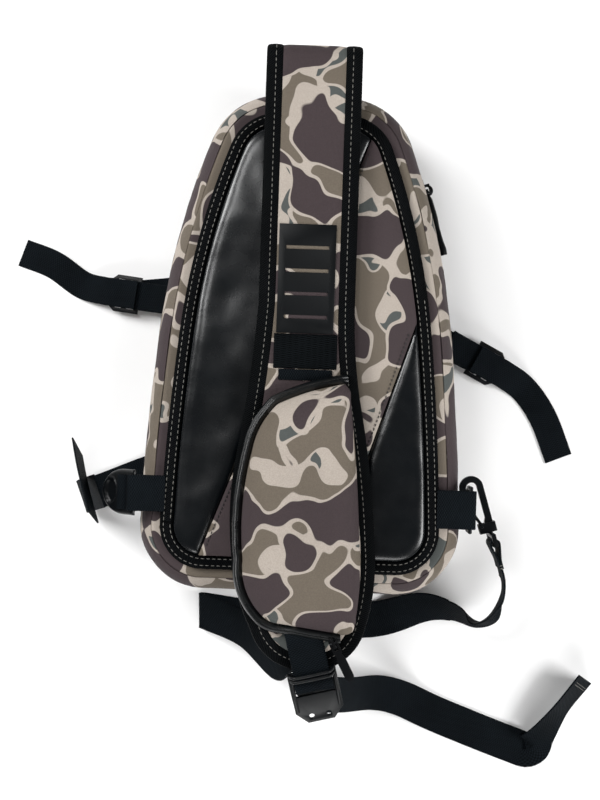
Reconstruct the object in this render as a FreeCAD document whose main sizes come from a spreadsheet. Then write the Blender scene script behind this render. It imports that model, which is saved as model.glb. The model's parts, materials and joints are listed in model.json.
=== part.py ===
"""Sling bag, lying flat on its front with the padded back upwards.

Frame: millimetres, +Z up, +Y towards the top of the bag, +X to the right when looking down on the back.
The origin is on the floor, under the middle of the body.
"""

import FreeCAD, Part
import math
import os

Vector = FreeCAD.Vector
Rotation = FreeCAD.Rotation
Placement = FreeCAD.Placement

# Driving sizes. Each one is a cell of the sheet under its own name.
SIZES = {
    # Body outline: a straight bottom edge, then arcs up each side, closed by a top arc.
    "outline_base": 210.0,
    "outline_straight": 80.0,
    "bottom_corner_radius": 54.0,
    "bottom_corner_turn": 92.0,
    "lower_side_radius": 2300.0,
    "lower_side_turn": 4.0,
    "upper_side_radius": 640.0,
    "upper_side_turn": 15.0,
    "shoulder_radius": 60.0,
    "shoulder_turn": 52.0,
    # Levels of the body's layers above the floor, and their thicknesses.
    "front_pocket_height": 10.0,
    "front_pocket_wall": 2.0,
    "front_panel_base": 10.0,
    "front_panel_thick": 3.0,
    "wall_base": 13.0,
    "wall_height": 84.0,
    "wall_thick": 3.0,
    "back_panel_base": 97.0,
    "back_panel_thick": 2.5,
    "foam_base": 99.5,
    "foam_thick": 4.5,
    "pad_base": 104.0,
    "pad_thick": 5.0,
    "binding_thick": 6.0,
    "rim_width": 18.0,
    "binding_width": 11.0,
    "pad_gap": 0.5,
    "inner_pocket_thick": 3.0,
    # Main zipper, low on the side wall.
    "main_zip_base": 26.0,
    "main_zip_band": 20.0,
    "main_zip_proud": 1.2,
    "main_zip_teeth_base": 34.0,
    "main_zip_teeth_band": 4.0,
    "main_zip_teeth_proud": 2.6,
    "main_zip_foot": -110.0,
    # Front pocket zipper.
    "front_zip_base": 1.0,
    "front_zip_band": 8.0,
    "front_zip_proud": 1.2,
    # Shoulder strap.
    "strap_base": 112.5,
    "strap_thick": 8.5,
    "strap_edge_width": 13.5,
    "strap_root_base": 99.5,
    "strap_root_thick": 5.0,
    "fold_centre_height": 109.0,
    "fold_centre_reach": 233.0,
    "strap_half_width": 39.5,
    "slot_panel_thick": 1.2,
    "elastic_thick": 2.2,
    "strap_pocket_height": 22.0,
    "strap_pocket_wall": 2.0,
    "pocket_zip_width": 7.0,
    "pocket_zip_height": 9.0,
    # Webbing and its hardware.
    "webbing_thick": 1.6,
    "webbing_wide": 32.0,
    "webbing_narrow": 25.0,
    "loop_inner_radius": 3.4,
    "lock_thick": 3.2,
    "lock_bar": 4.0,
    "ring_wire_radius": 1.6,
    "hook_thick": 5.0,
    "hook_housing_thick": 9.0,
    "gate_thick": 5.0,
    "gate_slot": 5.6,
    "gate_pin_radius": 1.2,
    "gate_bore_radius": 1.26,
    "swivel_pin_radius": 2.0,
    "swivel_bore_radius": 2.06,
}

# Places of the hardware: the axis of the bar or wire that each piece turns on.
STRAP_LOCK_BAR = Vector(13.5, -270.5, 126.3)
STRAP_LOCK_YAW = 14.0
STRAP_LOCK_DROOP = 16.0
LEFT_LOCK_BAR = Vector(-139.5, -130.5, 104.8)
LEFT_LOCK_DROOP = 40.0
LEFT_SIDE_BAR = Vector(-151.0, 39.0, 8.5)
LEFT_SIDE_YAW = -97.0
RIGHT_SIDE_BAR = Vector(151.5, -6.5, 8.5)
RIGHT_SIDE_YAW = 63.0
RING_BAR = Vector(141.6, -136.0, 104.8)
HOOK_CENTRE = Vector(143.3, -118.2, 89.0)
HOOK_YAW = 17.0

document = FreeCAD.newDocument("SlingBag")
sheet = document.addObject("Spreadsheet::Sheet", "Sizes")
for row, (alias, value) in enumerate(SIZES.items(), start=1):
    sheet.set(f"A{row}", str(value))
    sheet.setAlias(f"A{row}", alias)
document.recompute()

sub_parts = []


def size(alias):
    return float(sheet.get(alias))


def line(start, end):
    return Part.LineSegment(start, end)


def arc(start, middle, end):
    return Part.Arc(start, middle, end)


def flat(x, y):
    return Vector(x, y, 0.0)


def polygon(points):
    """Closed loop of straight lines through (x, y) pairs."""
    corners = [flat(x, y) for x, y in points]
    return [line(a, b) for a, b in zip(corners, corners[1:] + corners[:1])]


def rectangle(low_x, low_y, high_x, high_y):
    return polygon([(low_x, low_y), (high_x, low_y), (high_x, high_y), (low_x, high_y)])


def full_circle(centre, radius):
    return [Part.Circle(centre, Vector(0, 0, 1), radius)]


def stadium(length, radius):
    """Loop with round ends, centred on the origin and on (0, length)."""
    a, b = flat(radius, 0), flat(radius, length)
    c, d = flat(-radius, length), flat(-radius, 0)
    return [
        line(a, b),
        arc(b, flat(0, length + radius), c),
        line(c, d),
        arc(d, flat(0, -radius), a),
    ]


def add(item, label):
    item.Label = label
    sub_parts.append(item)
    return item


def origin_plane(body, role):
    return next(plane for plane in body.Origin.OriginFeatures if plane.Role == role)


def sketch_on(body, name, loops, role="XY_Plane", lift=0.0):
    sketch = body.newObject("Sketcher::SketchObject", name)
    sketch.AttachmentSupport = (origin_plane(body, role), [""])
    sketch.MapMode = "FlatFace"
    sketch.AttachmentOffset = Placement(Vector(0, 0, lift), Rotation())
    for loop in loops:
        for curve in loop:
            sketch.addGeometry(curve, False)
    return sketch


def new_body(label):
    return add(document.addObject("PartDesign::Body", label), label)


def pad(body, loops, length, midplane=False, role="XY_Plane", lift=0.0):
    feature = body.newObject("PartDesign::Pad", "Pad")
    feature.Profile = sketch_on(body, "PadSketch", loops, role, lift)
    feature.setExpression("Length", length)
    feature.Midplane = midplane
    return feature


def pocket(body, loops, length, role="XY_Plane", lift=0.0):
    """Cuts evenly on both sides of the sketch."""
    feature = body.newObject("PartDesign::Pocket", "Pocket")
    feature.Profile = sketch_on(body, "PocketSketch", loops, role, lift)
    feature.setExpression("Length", length)
    feature.Midplane = True
    return feature


def plate(label, loops, thickness, base):
    """A flat piece: its outline padded upwards from its level above the floor."""
    body = new_body(label)
    pad(body, loops, thickness)
    body.setExpression("Placement.Base.z", base)
    return body


def solid(label, shape, place=None):
    """A piece whose shape no feature makes. Its sizes are read from the sheet."""
    item = add(document.addObject("Part::Feature", label), label)
    item.Shape = shape
    if place:
        item.Placement = place
    return item


def extrude(loops, base, height):
    return prism([Part.Wire([curve.toShape() for curve in loop]) for loop in loops], base, height)


def prism(wires, base, height):
    """Solid over the area inside the first wire and outside the others."""
    face = Part.makeFace(wires, "Part::FaceMakerBullseye")
    face.translate(Vector(0, 0, base))
    return face.extrude(Vector(0, 0, height))


# Body outline


def outline_right(inset):
    """Curves of the right half, from the middle of the bottom edge to the middle of the top."""
    start = flat(0, inset - size("outline_base"))
    corner = flat(size("outline_straight"), start.y)
    curves = [line(start, corner)]
    here, heading = corner, 0.0
    for name in ("bottom_corner", "lower_side", "upper_side", "shoulder"):
        radius = size(name + "_radius") - inset
        turn = math.radians(size(name + "_turn"))
        centre = here + flat(-radius * math.sin(heading), radius * math.cos(heading))
        middle, end = (
            centre + flat(radius * math.sin(angle), -radius * math.cos(angle))
            for angle in (heading + turn / 2, heading + turn)
        )
        curves.append(arc(here, middle, end))
        here, heading = end, heading + turn
    radius = here.x / math.sin(math.pi - heading)
    centre = flat(0, here.y + radius * math.cos(heading))
    half = (heading + math.pi) / 2
    middle = centre + flat(radius * math.sin(half), -radius * math.cos(half))
    curves.append(arc(here, middle, centre + flat(0, radius)))
    return curves


def mirrored(curve):
    other = curve.copy()
    other.mirror(Vector(0, 0, 0), Vector(1, 0, 0))
    return other


def outline(inset=0.0):
    """The body's outline moved inwards by inset, as one closed loop."""
    right = outline_right(inset)
    points = [(c.StartPoint, c.value((c.FirstParameter + c.LastParameter) / 2), c.EndPoint) for c in right]
    loop = []
    for side in (1, -1):
        ordered = points if side > 0 else [p[::-1] for p in points[::-1]]
        for start, middle, end in ordered:
            a, m, b = (flat(side * p.x, p.y) for p in (start, middle, end))
            straight = abs((b - a).cross(m - a).Length) < 1e-6
            loop.append(line(a, b) if straight else arc(a, m, b))
    return loop


def upper_side_centre():
    """Centre of the arc that the upper side, and so the main zipper's slider, follows."""
    return outline_right(0.0)[3].toShape().Curve.Center


def make_body_shell():
    plate("front_panel", [outline()], "Sizes.front_panel_thick", "Sizes.front_panel_base")
    wall = [outline(), outline(size("wall_thick"))]
    plate("side_wall", wall, "Sizes.wall_height", "Sizes.wall_base")
    plate("back_panel", [outline()], "Sizes.back_panel_thick", "Sizes.back_panel_base")
    inner = size("rim_width") + size("binding_width")
    binding = [outline(size("rim_width")), outline(inner)]
    plate("back_binding", binding, "Sizes.binding_thick", "Sizes.foam_base")
    plate("back_foam", [outline(inner + 0.5)], "Sizes.foam_thick", "Sizes.foam_base")
    slip = [rectangle(-85, -150, 85, 60)]
    plate("inner_pocket", slip, "Sizes.inner_pocket_thick", "Sizes.wall_base")


# The back's diagonal camouflage band, between two lines across the padded area.
BAND_UPPER = ((56.0, 186.0), (-88.0, -194.0))
BAND_LOWER = ((112.0, 80.0), (20.0, -198.0))
FAR = 260.0


def side_of(edge, side, gap):
    """A large polygon on one side of a line, gap away from it. Side is +1 for the right."""
    (x1, y1), (x2, y2) = edge
    length = math.hypot(x2 - x1, y2 - y1)
    ux, uy = (x2 - x1) / length, (y2 - y1) / length
    nx, ny = -uy * side, ux * side
    a = (x1 - ux * FAR + nx * gap, y1 - uy * FAR + ny * gap)
    b = (x2 + ux * FAR + nx * gap, y2 + uy * FAR + ny * gap)
    return polygon([a, b, (b[0] + nx * FAR, b[1] + ny * FAR), (a[0] + nx * FAR, a[1] + ny * FAR)])


def make_back_pads():
    """Left pad, right pad and the band between them, all inside the binding."""
    inset = size("rim_width") + size("binding_width") + size("pad_gap")
    gap = size("pad_gap")
    cuts = {
        "back_pad_left": [side_of(BAND_UPPER, 1, -gap)],
        "back_camo_band": [side_of(BAND_UPPER, -1, 0), side_of(BAND_LOWER, 1, 0)],
        "back_pad_right": [side_of(BAND_LOWER, -1, -gap)],
    }
    for label, loops in cuts.items():
        body = plate(label, [outline(inset)], "Sizes.pad_thick", "Sizes.pad_base")
        for loop in loops:
            pocket(body, [loop], "4 * Sizes.pad_thick")


def half_prism(foot, base, height):
    """Everything above the foot line, for cutting a band that runs round the top and sides."""
    return Part.makeBox(600, 400, height, Vector(-300, foot, base))


def make_main_zipper():
    """A tape round the sides and top, the tooth strip on it, the slider and its pull."""
    foot = size("main_zip_foot")
    under = 0.0
    for part in ("main_zip", "main_zip_teeth"):
        base, band, proud = (size(f"{part}_{name}") for name in ("base", "band", "proud"))
        ring = extrude([outline(-proud), outline(-under)], base, band)
        label = part.replace("main_zip", "main_zipper") if "teeth" in part else "main_zipper_tape"
        solid(label, ring.common(half_prism(foot, base, band)))
        under = proud


SLIDER_ANGLE = 18.0
SLIDER_CLEARANCE = 0.4
# The arch on a slider, and the end of the puller that passes through it.
ARCH_HALF_LENGTH = 4.2
ARCH_HALF_WIDTH = 1.2
ARCH_POST = 1.8
ARCH_OPENING = 3.4
ARCH_ROOF = 1.4
SLIDER_PLATE = 2.6
PULL_THICK = 1.6
PULL_BAR_HALF = 3.6
EYE_HALF_WIDTH = 1.8
EYE_LENGTH = 6.6
PULL_AXIS = SLIDER_PLATE + ARCH_OPENING / 2


def zip_slider(label, length, width, place):
    """A slider: a flat plate with an arch on top. The arch runs along local Y."""
    body = new_body(label)
    half_length, half_width = length / 2, width / 2
    top = SLIDER_PLATE + ARCH_OPENING + ARCH_ROOF
    corner = 1.6
    edge = [
        (half_width, corner - half_length),
        (half_width, half_length - corner),
        (half_width - corner, half_length),
        (corner - half_width, half_length),
        (-half_width, half_length - corner),
        (-half_width, corner - half_length),
        (corner - half_width, -half_length),
        (half_width - corner, -half_length),
    ]
    pad(body, [polygon(edge)], str(SLIDER_PLATE))
    arch = rectangle(-ARCH_HALF_WIDTH, -ARCH_HALF_LENGTH, ARCH_HALF_WIDTH, ARCH_HALF_LENGTH)
    pad(body, [arch], str(top))
    inside = ARCH_HALF_LENGTH - ARCH_POST
    opening = rectangle(-inside, SLIDER_PLATE, inside, SLIDER_PLATE + ARCH_OPENING)
    pocket(body, [opening], "20", role="YZ_Plane")
    body.Placement = place
    return body


def zip_puller(label, outline_points, place):
    """A flat puller that hangs from the slider's arch by a round bar. It reaches towards local -Y."""
    body = new_body(label)
    pad(body, [polygon(outline_points)], str(PULL_THICK), midplane=True)
    pocket(body, [rectangle(-EYE_HALF_WIDTH, -EYE_LENGTH, EYE_HALF_WIDTH, 1.0)], "4 * Sizes.strap_thick")
    bar = [full_circle(flat(0, 0), PULL_THICK / 2)]
    pad(body, bar, str(2 * PULL_BAR_HALF), midplane=True, role="YZ_Plane")
    body.Placement = place.multiply(Placement(Vector(0, 0, PULL_AXIS), Rotation()))
    return body


def both_sides(half_outline):
    """Points down the right side of a shape, and back up its mirrored left side."""
    return half_outline + [(-x, y) for x, y in reversed(half_outline)]


# Right-hand outlines of the pullers, from the eye to the free end.
T_PULL = [
    (3.8, 0.0),
    (4.2, -8.0),
    (2.0, -14.0),
    (2.0, -22.0),
    (3.8, -25.0),
    (3.8, -36.0),
    (2.4, -39.0),
    (2.8, -50.0),
    (5.8, -62.0),
]
FLAT_PULL = [(3.6, 0.0), (3.6, -8.0), (2.6, -11.0), (3.8, -16.0), (3.8, -30.0), (2.2, -34.0)]


def main_slider_place():
    """Where the main slider stands on the upper side's arc. Its local Z points away from the wall."""
    centre = upper_side_centre()
    angle = math.radians(SLIDER_ANGLE)
    away = flat(math.cos(angle), math.sin(angle))
    along = flat(-math.sin(angle), math.cos(angle))
    reach = size("upper_side_radius") + size("main_zip_teeth_proud") + SLIDER_CLEARANCE
    at = centre + away * reach
    at.z = size("main_zip_teeth_base") + size("main_zip_teeth_band") / 2
    return Placement(at, Rotation(along.cross(away), along, away, "XYZ"))


def make_main_slider():
    place = main_slider_place()
    zip_slider("main_zipper_slider", 18.0, 11.0, place)
    zip_puller("main_zipper_pull", both_sides(T_PULL), place)


FRONT_PANEL_POCKET = ((-88.0, -178.0), (88.0, 78.0))
FRONT_SLIDER_X = 70.0


def make_front_pocket():
    """A shallow pocket on the front, which the bag lies on, with its zipper along the top edge."""
    (x1, y1), (x2, y2) = FRONT_PANEL_POCKET
    height, wall = size("front_pocket_height"), size("front_pocket_wall")
    body = new_body("front_pocket")
    pad(body, [rectangle(x1, y1, x2, y2)], "Sizes.front_pocket_height")
    hollow = rectangle(x1 + wall, y1 + wall, x2 - wall, y2 - wall)
    pocket(body, [hollow], "2 * (Sizes.front_pocket_height - Sizes.front_pocket_wall)")
    body.Placement = Placement(Vector(0, 0, height), Rotation(Vector(0, 1, 0), 180.0))
    band = document.addObject("Part::Box", "front_zipper_tape")
    add(band, "front_zipper_tape")
    band.Length = x2 - x1 - 12.0
    band.setExpression("Width", "Sizes.front_zip_proud")
    band.setExpression("Height", "Sizes.front_zip_band")
    band.Placement.Base = Vector(x1 + 6.0, y2, size("front_zip_base"))
    face = Vector(FRONT_SLIDER_X, y2 + size("front_zip_proud") + SLIDER_CLEARANCE, 5.0)
    place = Placement(face, Rotation(Vector(0, 0, 1), Vector(1, 0, 0), Vector(0, 1, 0), "XYZ"))
    zip_slider("front_zipper_slider", 12.0, 7.6, place)
    zip_puller("front_zipper_puller", both_sides(FLAT_PULL), place)


def webbing_loop(label, width, length, bar, turn):
    """Webbing folded round a bar: two layers joined by a round turn at each end.

    Local X runs along the bar and local Y away from it, back to where the loop is sewn.
    """
    radius = size("loop_inner_radius")
    outer = radius + size("webbing_thick")
    body = new_body(label)
    pad(body, [stadium(length, outer), stadium(length, radius)], str(width), midplane=True)
    stand = Rotation(Vector(0, 1, 0), 90.0)
    body.Placement = Placement(bar, turn.multiply(stand))
    return body


def ladder_lock(label, width, length, bar, turn):
    """Moulded buckle: the end bar that a loop holds, two slots with a bar between, and a thumb tab.

    Local X runs along the bars, and the buckle reaches towards local -Y.
    """
    half = width / 2
    slot = half - 3.5
    bar_half = size("lock_bar") / 2
    tab = -length + 10.0
    body = new_body(label)
    edge = [
        (-half, bar_half),
        (half, bar_half),
        (half, tab),
        (half - 9.0, -length),
        (9.0 - half, -length),
        (-half, tab),
    ]
    first = rectangle(-slot, -bar_half - 7.0, slot, -bar_half)
    second_top = -bar_half - 11.5
    second = rectangle(-slot, second_top - 6.0, slot, second_top)
    pad(body, [polygon(edge), first, second], "Sizes.lock_thick", midplane=True)
    holes = [full_circle(flat(side * half * 0.36, -length + 5.5), 2.3) for side in (-1, 1)]
    pocket(body, holes, "4 * Sizes.lock_thick")
    body.Placement = Placement(bar, turn)
    return body


def ribbon(label, stations, width):
    """Flat webbing through stations of (centre, direction of its width), as a faceted solid.

    Where the direction is None the webbing lies level. It never turns over between two stations.
    """
    centres = [Vector(*centre) for centre, _ in stations]
    sections = []
    last_side = None
    for index, (_, across) in enumerate(stations):
        before = centres[max(index - 1, 0)]
        after = centres[min(index + 1, len(centres) - 1)]
        ahead = (after - before).normalize()
        side = Vector(*across) if across else flat(-ahead.y, ahead.x)
        side = (side - ahead * side.dot(ahead)).normalize()
        if last_side and side.dot(last_side) < 0:
            side = side * -1
        last_side = side
        up = side.cross(ahead).normalize() * (size("webbing_thick") / 2)
        side = side * (width / 2)
        here = centres[index]
        corners = [here + side + up, here - side + up, here - side - up, here + side - up]
        sections.append(corners + corners[:1])
    faces = [sections[0], sections[-1]]
    for near, far in zip(sections, sections[1:]):
        quads = list(zip(near, near[1:], far[1:], far))
        # The upper and lower sides fold along the same diagonal, so the webbing keeps its thickness.
        faces += [loop for a, b, c, d in quads[:2] for loop in ([a, b, c, a], [a, c, d, a])]
        faces += [loop for a, b, c, d in quads[2:] for loop in ([a, b, d, a], [b, c, d, b])]
    shell = Part.makeShell([Part.Face(Part.makePolygon(face)) for face in faces])
    shell.sewShape()
    shape = Part.makeSolid(shell)
    if shape.Volume < 0:
        shape.reverse()
    return solid(label, shape)


# Shoulder strap. Each outline is a chain of arcs through three points.
STRAP_END_ARCS = [
    ((-39.5, 30), (-45.0, -35), (-54.5, -100)),
    ((-54.5, -100), (-57.5, -145), (-54.0, -187)),
    ((-54.0, -187), (-48.0, -214), (-38.0, -238)),
    ((-38.0, -238), (-21.0, -262), (6.0, -271)),
    ((6.0, -271), (38.0, -263), (56.5, -236)),
    ((56.5, -236), (62.5, -202), (62.0, -165)),
    ((62.0, -165), (56.0, -105), (46.0, -47)),
    ((46.0, -47), (41.0, -8), (39.5, 30)),
]
POCKET_ARCS = [
    ((36.0, -26), (4.0, -33.5), (-26.0, -46)),
    ((-26.0, -46), (-40.0, -64), (-49.0, -90)),
    ((-49.0, -90), (-55.5, -136), (-54.0, -181)),
    ((-54.0, -181), (-47.5, -214), (-34.0, -232)),
    ((-34.0, -232), (-26.0, -237.5), (-16.0, -240)),
]
POCKET_RIGHT_ARCS = [
    ((36.0, -247), (46.0, -240), (50.0, -226)),
    ((50.0, -226), (52.5, -190), (50.0, -150)),
    ((50.0, -150), (45.5, -95), (40.0, -48)),
    ((40.0, -48), (39.0, -36), (36.0, -26)),
]


def arcs(chain):
    return [arc(flat(*a), flat(*m), flat(*b)) for a, m, b in chain]


def strap_loop():
    reach = size("fold_centre_reach")
    half = size("strap_half_width")
    top = [
        line(flat(half, 30), flat(half, reach)),
        line(flat(half, reach), flat(-half, reach)),
        line(flat(-half, reach), flat(-half, 30)),
    ]
    return arcs(STRAP_END_ARCS) + top


def pocket_loop():
    return arcs(POCKET_ARCS) + [line(flat(-16.0, -240), flat(36.0, -247))] + arcs(POCKET_RIGHT_ARCS)


def shrunk(loop, inset):
    """The loop moved inwards, as a wire."""
    wire = Part.Wire([curve.toShape() for curve in loop])
    return wire.makeOffset2D(-inset) if inset else wire


def make_strap():
    """The pad between its bound edges, and the pieces sewn on top of it."""
    base, thick = size("strap_base"), size("strap_thick")
    edge = size("strap_edge_width")
    outer, inner = shrunk(strap_loop(), 0), shrunk(strap_loop(), edge)
    reach = size("fold_centre_reach")
    half = size("strap_half_width")
    # The binding runs down both sides and round the end, and stays open at the fold.
    top_strip = Part.makeBox(2 * (half - edge), edge, thick, Vector(edge - half, reach - edge, base))
    solid("shoulder_strap_pad", prism([inner], base, thick).fuse(top_strip).removeSplitter())
    solid("strap_binding", prism([outer, inner], base, thick).cut(top_strip))

    top = base + thick
    panel = new_body("strap_slot_panel")
    slots = [rectangle(-18.5, y - 1.45, 16.8, y + 1.45) for y in (76.0, 57.0, 38.0, 19.0)]
    pad(panel, [rectangle(-24.5, 5.5, 22.5, 95.0)] + slots, "Sizes.slot_panel_thick")
    panel.Placement.Base = Vector(0, 0, top)
    elastic = document.addObject("Part::Box", "strap_elastic_band")
    add(elastic, "strap_elastic_band")
    elastic.Length, elastic.Width = 52.0, 28.5
    elastic.setExpression("Height", "Sizes.elastic_thick")
    elastic.Placement.Base = Vector(-26.0, -23.5, top)
    upper = document.addObject("Part::Box", "strap_upper_webbing")
    add(upper, "strap_upper_webbing")
    upper.Length, upper.Width = 44.0, 9.0
    upper.setExpression("Height", "Sizes.webbing_thick")
    upper.Placement.Base = Vector(-21.5, -33.0, top)


def make_strap_pocket():
    """A moulded shell with a zipper band round its foot."""
    top = size("strap_base") + size("strap_thick")
    band = size("pocket_zip_width")
    wall = size("strap_pocket_wall")
    height = size("strap_pocket_height")
    foot, ring, hollow = (shrunk(pocket_loop(), inset) for inset in (0.3, band, band + wall))
    band_solid = prism([foot, ring], top, size("pocket_zip_height"))
    webbing_room = Part.makeBox(46, 14, 3, Vector(-22.5, -38.0, top - 0.5))
    solid("strap_pocket_zipper", band_solid.cut(webbing_room))
    shell = prism([ring], top, height).cut(prism([hollow], top, height - wall))
    solid("strap_pocket_shell", shell)


POCKET_SLIDER = (30.5, -245.4)
POCKET_PULL_YAW = 28.0


def make_pocket_slider():
    """The slider sits on the zipper band at its closed end, and its puller lies over the strap end."""
    top = size("strap_base") + size("strap_thick") + size("pocket_zip_height")
    turn = Rotation(Vector(0, 0, 1), POCKET_PULL_YAW)
    place = Placement(Vector(*POCKET_SLIDER, top + SLIDER_CLEARANCE), turn)
    zip_slider("pocket_zipper_slider", 8.6, 7.0, place)
    zip_puller("pocket_zipper_puller", both_sides(FLAT_PULL), place)


STRAP_ROOT_START = 193.6
FOLD_ROOT_TURN = 130.0


def make_strap_root():
    """The strap's sewn end on the back, and the part of its fold that stays with the bag."""
    base, thick = size("strap_root_base"), size("strap_root_thick")
    centre = size("fold_centre_height")
    reach = size("fold_centre_reach")
    half = size("strap_half_width")
    outer = centre - base
    inner = outer - thick
    turn = math.radians(FOLD_ROOT_TURN)
    middle = math.radians(FOLD_ROOT_TURN / 2 - 90.0)
    last = turn - math.pi / 2

    def at(radius, angle):
        return Vector(reach + radius * math.cos(angle), centre + radius * math.sin(angle), 0)

    body = new_body("strap_root")
    start = STRAP_ROOT_START
    loop = [
        line(flat(start, base), flat(reach, base)),
        arc(flat(reach, base), at(outer, middle), at(outer, last)),
        line(at(outer, last), at(inner, last)),
        arc(at(inner, last), at(inner, middle), flat(reach, base + thick)),
        line(flat(reach, base + thick), flat(start, base + thick)),
        line(flat(start, base + thick), flat(start, base)),
    ]
    pad(body, [loop], str(2 * half), midplane=True, role="YZ_Plane")


def make_locks_and_loops():
    wide, narrow = size("webbing_wide"), size("webbing_narrow")

    def yaw(angle):
        return Rotation(Vector(0, 0, 1), angle)

    def droop(angle):
        return Rotation(Vector(1, 0, 0), angle)

    turn = yaw(STRAP_LOCK_YAW)
    webbing_loop("strap_end_webbing", wide - 2, 14.5, STRAP_LOCK_BAR, turn)
    ladder_lock("strap_ladder_lock", 40.0, 44.0, STRAP_LOCK_BAR, turn.multiply(droop(STRAP_LOCK_DROOP)))

    turn = yaw(-90.0)
    webbing_loop("left_corner_tab", wide - 2, 18.2, LEFT_LOCK_BAR, turn)
    ladder_lock("left_corner_lock", 38.0, 36.0, LEFT_LOCK_BAR, turn.multiply(droop(LEFT_LOCK_DROOP)))

    turn = yaw(LEFT_SIDE_YAW)
    webbing_loop("left_side_loop", narrow, 31.0, LEFT_SIDE_BAR, turn.multiply(droop(14.0)))
    ladder_lock("left_side_lock", 33.0, 30.0, LEFT_SIDE_BAR, turn.multiply(droop(5.0)))

    turn = yaw(RIGHT_SIDE_YAW)
    webbing_loop("right_side_loop", narrow, 25.0, RIGHT_SIDE_BAR, turn.multiply(droop(14.0)))
    ladder_lock("right_side_lock", 33.0, 30.0, RIGHT_SIDE_BAR, turn.multiply(droop(5.0)))

    webbing_loop("right_corner_tab", wide, 20.0, RING_BAR, yaw(90.0))


RING_HALF = 18.0
RING_DROP = 26.0


def make_ring():
    """Oblong ring whose top bar lies in the right corner tab. The rest hangs down."""
    wire = size("ring_wire_radius")
    body = new_body("corner_ring")

    def edge(half, high, low, cut):
        """A rectangle between two heights with its lower corners cut off."""
        corners = [(half, low + cut), (half, high), (-half, high), (-half, low + cut)]
        return corners + [(cut - half, low), (half - cut, low)]

    outer = edge(RING_HALF + wire, wire, -RING_DROP, 5.0)
    inner = edge(RING_HALF - wire, -wire, 2 * wire - RING_DROP, 3.5)
    pad(body, [polygon(outer), polygon(inner)], "2 * Sizes.ring_wire_radius", midplane=True, role="YZ_Plane")
    body.Placement.Base = RING_BAR


# In the hook's own frame: the gate's pin, the shank's end and the swivel in it.
GATE_PIN = (0.0, -33.8)
HOOK_FOOT = 40.0
SWIVEL_X = 5.8
SWIVEL_BORE_DEPTH = 7.0
HOOK_LOOP_LENGTH = 17.0


# Block round the gate's pin and the swivel, then the gate's slot, both in the hook's local plane.
HOUSING = (-2.9, -39.6, 11.6, -31.4)
SLOT_LEFT = -20.0
THROUGH = "40"
GATE_ROOT = [(-1.8, -30.6), (-2.4, -32.0), (-2.4, -36.2), (2.2, -36.2), (2.2, -32.2), (0.6, -30.2)]
GATE_BLADE = [(-4.8, -16.6), (-5.6, -3.2), (-8.2, -4.2), (-7.4, -16.9)]
# Upright frame below the hook that holds the webbing; the webbing's bar is its lower side.
EYE_OUTER_FOOT, EYE_OUTER_TOP, EYE_OUTER_HALF = -51.5, -40.5, 20.5
EYE_INNER_FOOT, EYE_INNER_TOP, EYE_INNER_HALF = -48.2, -43.5, 17.0
EYE_BAR = -49.85
EYE_THICK = "3.6"


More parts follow.
